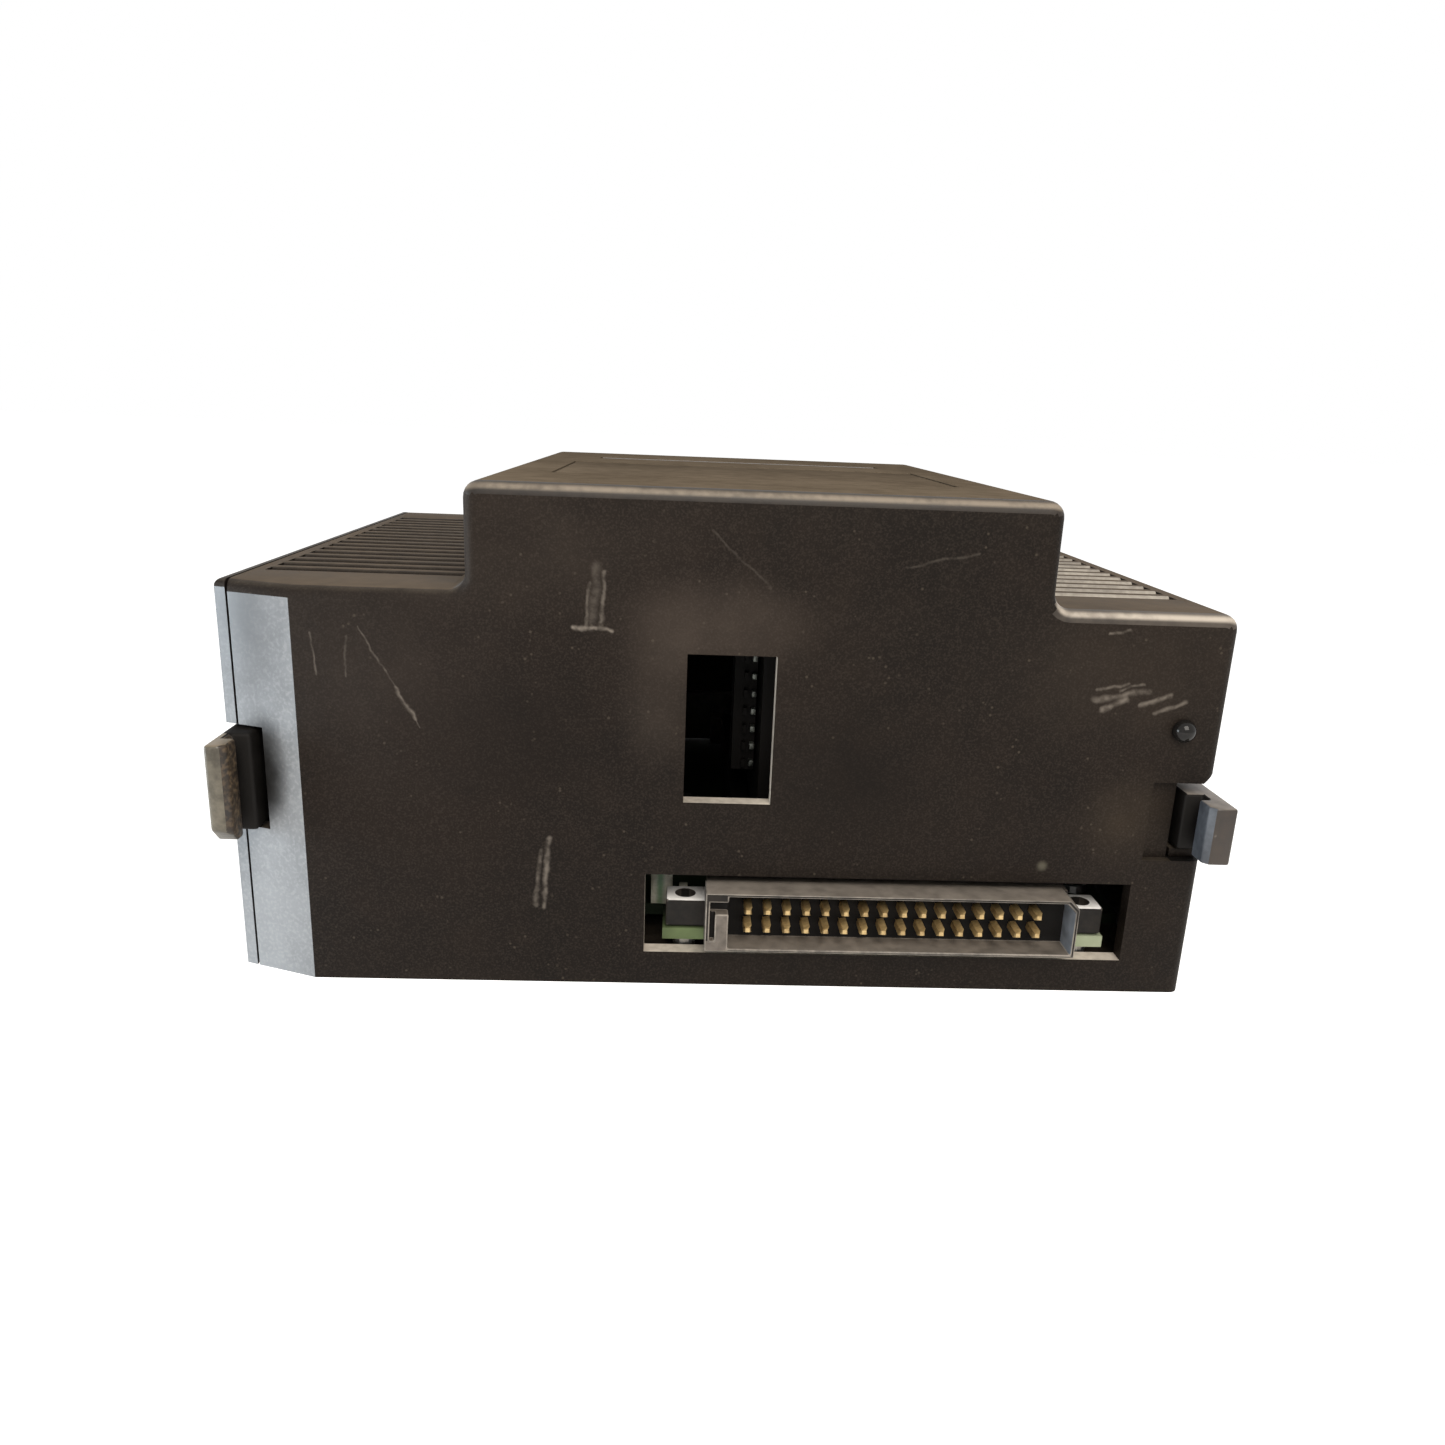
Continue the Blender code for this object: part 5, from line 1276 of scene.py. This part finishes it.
# the ears that hold the header to the board, and the body between them
earForm = {
    "long": 5.1 * mm,
    "low": 7.6 * mm,
    "top": 11.4 * mm,
    "behind": 1.8 * mm,
    "deep": 4.6 * mm,
    "hole": 1.4 * mm,
    "through": 20 * mm,
    "soft": 0.3 * mm,
    "bodyInset": 0.3 * mm,
    "bodyLow": 8.9 * mm,
    "bodyEnd": -40.3 * mm,
}
pinForm = {
    "columns": 16,
    "pitch": 2.54 * mm,
    "size": 1.0 * mm,
    "tip": -49.3 * mm,
    "x": 22.65 * mm,
    "z": 10.5 * mm,
    "point": 0.5 * mm,
    "taper": 0.55,
    "frame": 0.5 * mm,
}


def inCavity(centre, normal):
    form = headerForm
    inside = form["left"] + form["shadeStart"] < centre.x < form["right"] - form["shadeEnd"]
    deep = form["rim"] + form["shadeStart"] < centre.y < form["back"] + form["shadePast"]
    tall = form["low"] < centre.z < form["high"] - form["shadePast"]
    return inside and deep and tall and normal.z < 0.7


# the right inner end of the header, which takes the painted cool light
def onRightEnd(centre, normal):
    beside = centre.x > headerForm["right"] - headerForm["coolEnd"] and centre.y < headerForm["back"]
    return beside and centre.z < headerForm["high"] - headerForm["skin"] and normal.x < -squarely


def buildHeader():
    left, right, low, high, rim, back, skin, chamfer = (
        headerForm[key] for key in ("left", "right", "low", "high", "rim", "back", "skin", "chamfer")
    )
    corners = [(left, low), (right, low), (right, high - chamfer), (right - chamfer, high), (left, high)]
    header = addPiece("busHeader", drawPrism(corners, "xz", rim, back), "header_plastic")
    before = rim - caseForm["past"]
    wallEnd, postEnd = right - headerForm["thinEnd"], left + headerForm["thickEnd"]
    ceiling, notchLow, blockHigh = high - skin, high - postForm["notch"], low + postForm["block"]
    corners = [
        (postEnd, low + skin),
        (wallEnd, low + skin),
        (wallEnd, ceiling - chamfer),
        (wallEnd - chamfer, ceiling),
        (postEnd, ceiling),
    ]
    postLeft, postRight = (left + width for width in postForm["sides"])
    tools = [
        makeCutter("cavity", drawPrism(corners, "xz", before, rim + headerForm["floor"])),
        boxCutter(
            "keyNotch",
            (postLeft, before, notchLow),
            (postEnd + postForm["notchPast"], rim + postForm["notchDeep"], high - postForm["lip"]),
        ),
        boxCutter(
            "postStep",
            (postLeft, before, blockHigh),
            (postRight, rim + postForm["stepDeep"], notchLow + postForm["overlap"]),
        ),
    ]
    carve(header, tools)
    bevelSharp(header, headerForm["soft"])
    long, earY, inset = earForm["long"], faceY + earForm["behind"], earForm["bodyInset"]
    feet = boxCutter(
        "feet", (left - long, earY, earForm["low"]), (right + long, earY + earForm["deep"], earForm["top"])
    )
    bevelSharp(feet, earForm["soft"])
    body = boxCutter(
        "body", (left + inset, back - inset, earForm["bodyLow"]), (right - inset, earForm["bodyEnd"], ceiling)
    )
    carve(header, [body], "UNION")
    carve(header, [feet], "UNION")
    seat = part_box("bus_header")[0].z
    holes = []
    for x in (left - long / 2, right + long / 2):
        place = Matrix.Translation((x, earY + earForm["deep"] / 2, seat))
        holes.append(rodCutter("earHole", earForm["hole"], earForm["through"], place))
    carve(header, holes)
    splitPiece(header, (postEnd + near / 2, 0, 0), (1, 0, 0))
    splitPiece(header, (0, 0, blockHigh), (0, 0, 1))

    def onEarTop(centre, normal):
        return normal.z > squarely and abs(centre.z - earForm["top"]) < near

    def onPost(centre, normal):
        within = postRight < centre.x < postEnd and centre.z < notchLow
        return within and normal.y < -squarely and centre.y < rim + 2 * near

    # painted shade on the front faces, painted light on the top and the post front, a painted highlight on
    # the ear tops, painted shade in the cavity and painted cool light on the right inner end
    paintFaces(header, "headerRim", lambda centre, normal: normal.y < -squarely)
    paintFaces(header, "headerTop", lambda centre, normal: normal.z > squarely and centre.z > high - near)
    paintFaces(header, "headerTop", onPost)
    paintFaces(header, "headerEdge", lambda centre, normal: max(map(abs, normal)) < 0.95 and centre.y < back)
    paintFaces(header, "earTop", onEarTop)
    paintFaces(header, "shade", inCavity)
    paintFaces(header, "cool", onRightEnd)
    smoothPiece(header)
    return stand(header, "case", "bus_header")


def buildPins(row, height):
    form = pinForm
    node = "bus_pins_" + row
    low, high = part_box(node)
    bm = bmesh.new()
    half = form["size"] / 2
    for index in range(form["columns"]):
        x = form["x"] + (index - (form["columns"] - 1) / 2) * form["pitch"]
        verts = addBox(bm, (x - half, form["tip"], height - half), (x + half, high.y, height + half))
        ends = [vert for vert in verts if vert.co.y < form["tip"] + 1e-6]
        centre = Vector((x, form["tip"], height))
        edges = list({edge for vert in verts for edge in vert.link_edges})
        long = [edge for edge in edges if abs(edge.verts[0].co.y - edge.verts[1].co.y) > 1e-4]
        taper = (form["taper"], 1, form["taper"])
        bmesh.ops.scale(bm, verts=ends, vec=taper, space=Matrix.Translation(-centre))
        for vert in bmesh.ops.bisect_edges(bm, edges=long, cuts=1)["geom_split"]:
            if isinstance(vert, bmesh.types.BMVert):
                across = math.copysign(half, vert.co.x - x)
                up = math.copysign(half, vert.co.z - height)
                vert.co = centre + Vector((across, form["point"], up))
    addBox(bm, (low.x, high.y - form["frame"], low.z), high)
    pins = addPiece(row + "Pins", bm, "contact_gold")
    return stand(pins, "case", node)


buildHeader()
buildPins("upper", pinForm["z"] + pinForm["pitch"] / 2)
buildPins("lower", pinForm["z"] - pinForm["pitch"] / 2)
print("bus header and pins built")


# latch springs
springForm = {"radius": 1.7 * mm, "wire": 0.5 * mm, "turns": 3, "points": 28, "shorter": 0.6}


def buildSpring(side):
    node = side + "_latch_spring"
    low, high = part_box(node)
    middle = (low + high) / 2
    steps = springForm["turns"] * springForm["points"]
    thick = springForm["wire"] / 2
    rise = (high.x - low.x - springForm["wire"]) / steps
    bm = bmesh.new()
    place = Matrix.Translation((low.x + thick, middle.y + springForm["radius"], middle.z))
    bmesh.ops.create_circle(bm, cap_ends=True, segments=10, radius=thick, matrix=place)
    angle = math.tau * springForm["turns"]
    bmesh.ops.spin(
        bm, geom=everyPart(bm), cent=middle, axis=(1, 0, 0), dvec=(rise, 0, 0), angle=angle, steps=steps
    )
    bmesh.ops.recalc_face_normals(bm, faces=bm.faces)
    spring = addPiece(side + "Spring", bm, "screw_steel")
    smoothPiece(spring, 60)
    stand(spring, "case", node)
    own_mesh(spring)


buildSpring("right")
buildSpring("left")
print("springs built")


# outer fittings: a merged copy of the CAD solid with its edges softened
fittingForm = {"soft": 0.2 * mm, "merge": 0.002 * mm, "flat": math.radians(1.0)}


def refine(node):
    bm = bmesh.new()
    bm.from_mesh(nodes[node].data)
    bmesh.ops.remove_doubles(bm, verts=bm.verts, dist=fittingForm["merge"])
    bmesh.ops.dissolve_limit(bm, angle_limit=fittingForm["flat"], verts=bm.verts, edges=bm.edges)
    words = node.split("_")
    name = words[0] + "".join(word.capitalize() for word in words[1:])
    piece = addPiece(name, bm, slotNames[node])
    bevelSharp(piece, fittingForm["soft"])
    smoothPiece(piece)
    return stand(piece, "case", node)


for node in ("field_terminal", "supply_terminal", "label_plate", "light_guide", "bus_socket"):
    refine(node)
print("outer fittings refined")


# chip leads that glint through the window
leadForm = {
    "count": 7,
    "pitch": 2.54 * mm,
    "z": 33.4 * mm,
    "tall": 0.85 * mm,
    "wide": 0.7 * mm,
    "aside": 1.15 * mm,
    "proud": 0.1 * mm,
    "deep": 1.2 * mm,
    "soft": 0.12 * mm,
}


def buildLeads():
    low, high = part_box("io_chip")
    bm = bmesh.new()
    middle = (low.x + high.x) / 2 + leadForm["aside"]
    wide, tall = leadForm["wide"] / 2, leadForm["tall"] / 2
    for index in range(leadForm["count"]):
        z = leadForm["z"] + (index - (leadForm["count"] - 1) / 2) * leadForm["pitch"]
        front, back = low.y - leadForm["proud"], low.y + leadForm["deep"]
        addBox(bm, (middle - wide, front, z - tall), (middle + wide, back, z + tall))
    leads = addPiece("chipLeads", bm, "lead")
    bevelSharp(leads, leadForm["soft"])
    smoothPiece(leads)
    return stand(leads, "case")


buildLeads()
print("chip leads built")


# rib in the right slot under the latch, and small parts on the board behind the left ear
ribForm = {"low": (59.2, -45.6, 19.3), "high": (62.9, -15.0, 20.6), "soft": 0.2 * mm}
smallForm = {
    "boxes": [((-9.3, -38.6, 7.6), (-6.3, -36.9, 12.3)), ((-5.4, -38.2, 7.6), (-4.2, -37.2, 10.4))],
    "soft": 0.15 * mm,
}


def buildSmallParts():
    bm = bmesh.new()
    addBox(bm, Vector(ribForm["low"]) * mm, Vector(ribForm["high"]) * mm)
    rib = addPiece("latchRest", bm, "case_plastic")
    bevelSharp(rib, ribForm["soft"])
    smoothPiece(rib)
    stand(rib, "case")
    bm = bmesh.new()
    for low, high in smallForm["boxes"]:
        addBox(bm, Vector(low) * mm, Vector(high) * mm)
    parts = addPiece("smallParts", bm, "small_part")
    bevelSharp(parts, smallForm["soft"])
    smoothPiece(parts)
    stand(parts, "case")


buildSmallParts()
print("small parts built")


# camera at the photograph's place
cameraForm = {
    "place": (-6.25, -176.56, 73.72),
    "lens": 26.94,
    "sensor": 36.0,
    "nearest": 10 * mm,
    "pitch": 16.0,
    "yaw": 2.48,
    "roll": -2.28,
}


def addCamera():
    pitch, yaw, roll = (math.radians(cameraForm[key]) for key in ("pitch", "yaw", "roll"))
    ahead = Vector((math.sin(yaw) * math.cos(pitch), math.cos(yaw) * math.cos(pitch), -math.sin(pitch)))
    right = Vector((math.cos(yaw), -math.sin(yaw), 0.0))
    down = ahead.cross(right)
    across = math.cos(roll) * right + math.sin(roll) * down
    below = -math.sin(roll) * right + math.cos(roll) * down
    data = bpy.data.cameras.new("camera")
    data.lens = cameraForm["lens"]
    data.sensor_width = cameraForm["sensor"]
    data.clip_start = cameraForm["nearest"]
    camera = bpy.data.objects.new("camera", data)
    turn = Matrix((across, -below, -ahead)).transposed().to_4x4()
    camera.matrix_world = Matrix.Translation(Vector(cameraForm["place"]) * mm) @ turn
    bpy.context.scene.collection.objects.link(camera)
    bpy.context.scene.camera = camera


# soft studio light: a cool low card at the left, a warm one overhead, and an even surround
lightForm = {
    "card": {
        "place": (-0.3, -0.085, 0.03),
        "aim": (-0.05, -0.045, 0.026),
        "size": (0.16, 0.14),
        "power": 0.75,
        "colour": (0.86, 0.94, 1.0),
    },
    "overhead": {
        "place": (0.06, -0.37, 0.35),
        "aim": (0.0, -0.03, 0.03),
        "size": (0.3, 0.3),
        "power": 2.3,
        "colour": (1.0, 0.94, 0.86),
    },
}
surround = 0.42
floorForm = {"reach": 3.0, "cloud": 40.0, "dark": 0.86, "light": 0.88, "roughness": 0.9, "glow": 0.66}


def addLight(name, form):
    data = bpy.data.lights.new(name, "AREA")
    data.shape = "RECTANGLE"
    data.size, data.size_y = form["size"]
    data.energy = form["power"]
    data.color = form["colour"]
    lamp = bpy.data.objects.new(name, data)
    line = Vector(form["aim"]) - Vector(form["place"])
    lamp.matrix_world = Matrix.Translation(form["place"]) @ line.to_track_quat("-Z", "Y").to_matrix().to_4x4()
    lamp.visible_camera = False
    bpy.context.scene.collection.objects.link(lamp)


# 1 where the background is seen directly, in a reflection or through something clear
def seenDirectly(tree):
    path = addNode(tree, "ShaderNodeLightPath")
    seen = useMath(tree, "MAXIMUM", path.outputs["Is Camera Ray"], path.outputs["Is Glossy Ray"])
    return useMath(tree, "MAXIMUM", seen, path.outputs["Is Transmission Ray"])


def grey(level):
    return (level, level, level, 1.0)


def addSurround():
    world = bpy.data.worlds.new("studio")
    world.use_nodes = True
    tree = world.node_tree
    background = tree.nodes["Background"]
    level = blendColour(tree, seenDirectly(tree), grey(surround), grey(1.0))
    feed(tree, background, Color=level, Strength=1.0)
    bpy.context.scene.world = world


def addFloor():
    bm = bmesh.new()
    bmesh.ops.create_grid(bm, x_segments=1, y_segments=1, size=floorForm["reach"])
    floor = addPiece("floor", bm, None)
    made = bpy.data.materials.new("paleFloor")
    made.use_nodes = True
    tree = made.node_tree
    shader = tree.nodes["Principled BSDF"]
    place = addNode(tree, "ShaderNodeTexCoord").outputs["Object"]
    tone = useRange(tree, useNoise(tree, place, floorForm["cloud"]), 0.3, 0.7)
    colour = blendColour(tree, tone, grey(floorForm["dark"]), grey(floorForm["light"]))
    glow = blendColour(tree, seenDirectly(tree), grey(0.0), grey(floorForm["glow"]))
    feed(tree, shader, Base_Color=colour, Roughness=floorForm["roughness"], Specular_IOR_Level=0.0)
    feed(tree, shader, Emission_Color=glow, Emission_Strength=1.0)
    floor.data.materials.append(made)


addCamera()
for name, form in lightForm.items():
    addLight(name, form)
addSurround()
addFloor()
bpy.context.scene.view_settings.view_transform = "Standard"
print("camera, light and floor set")
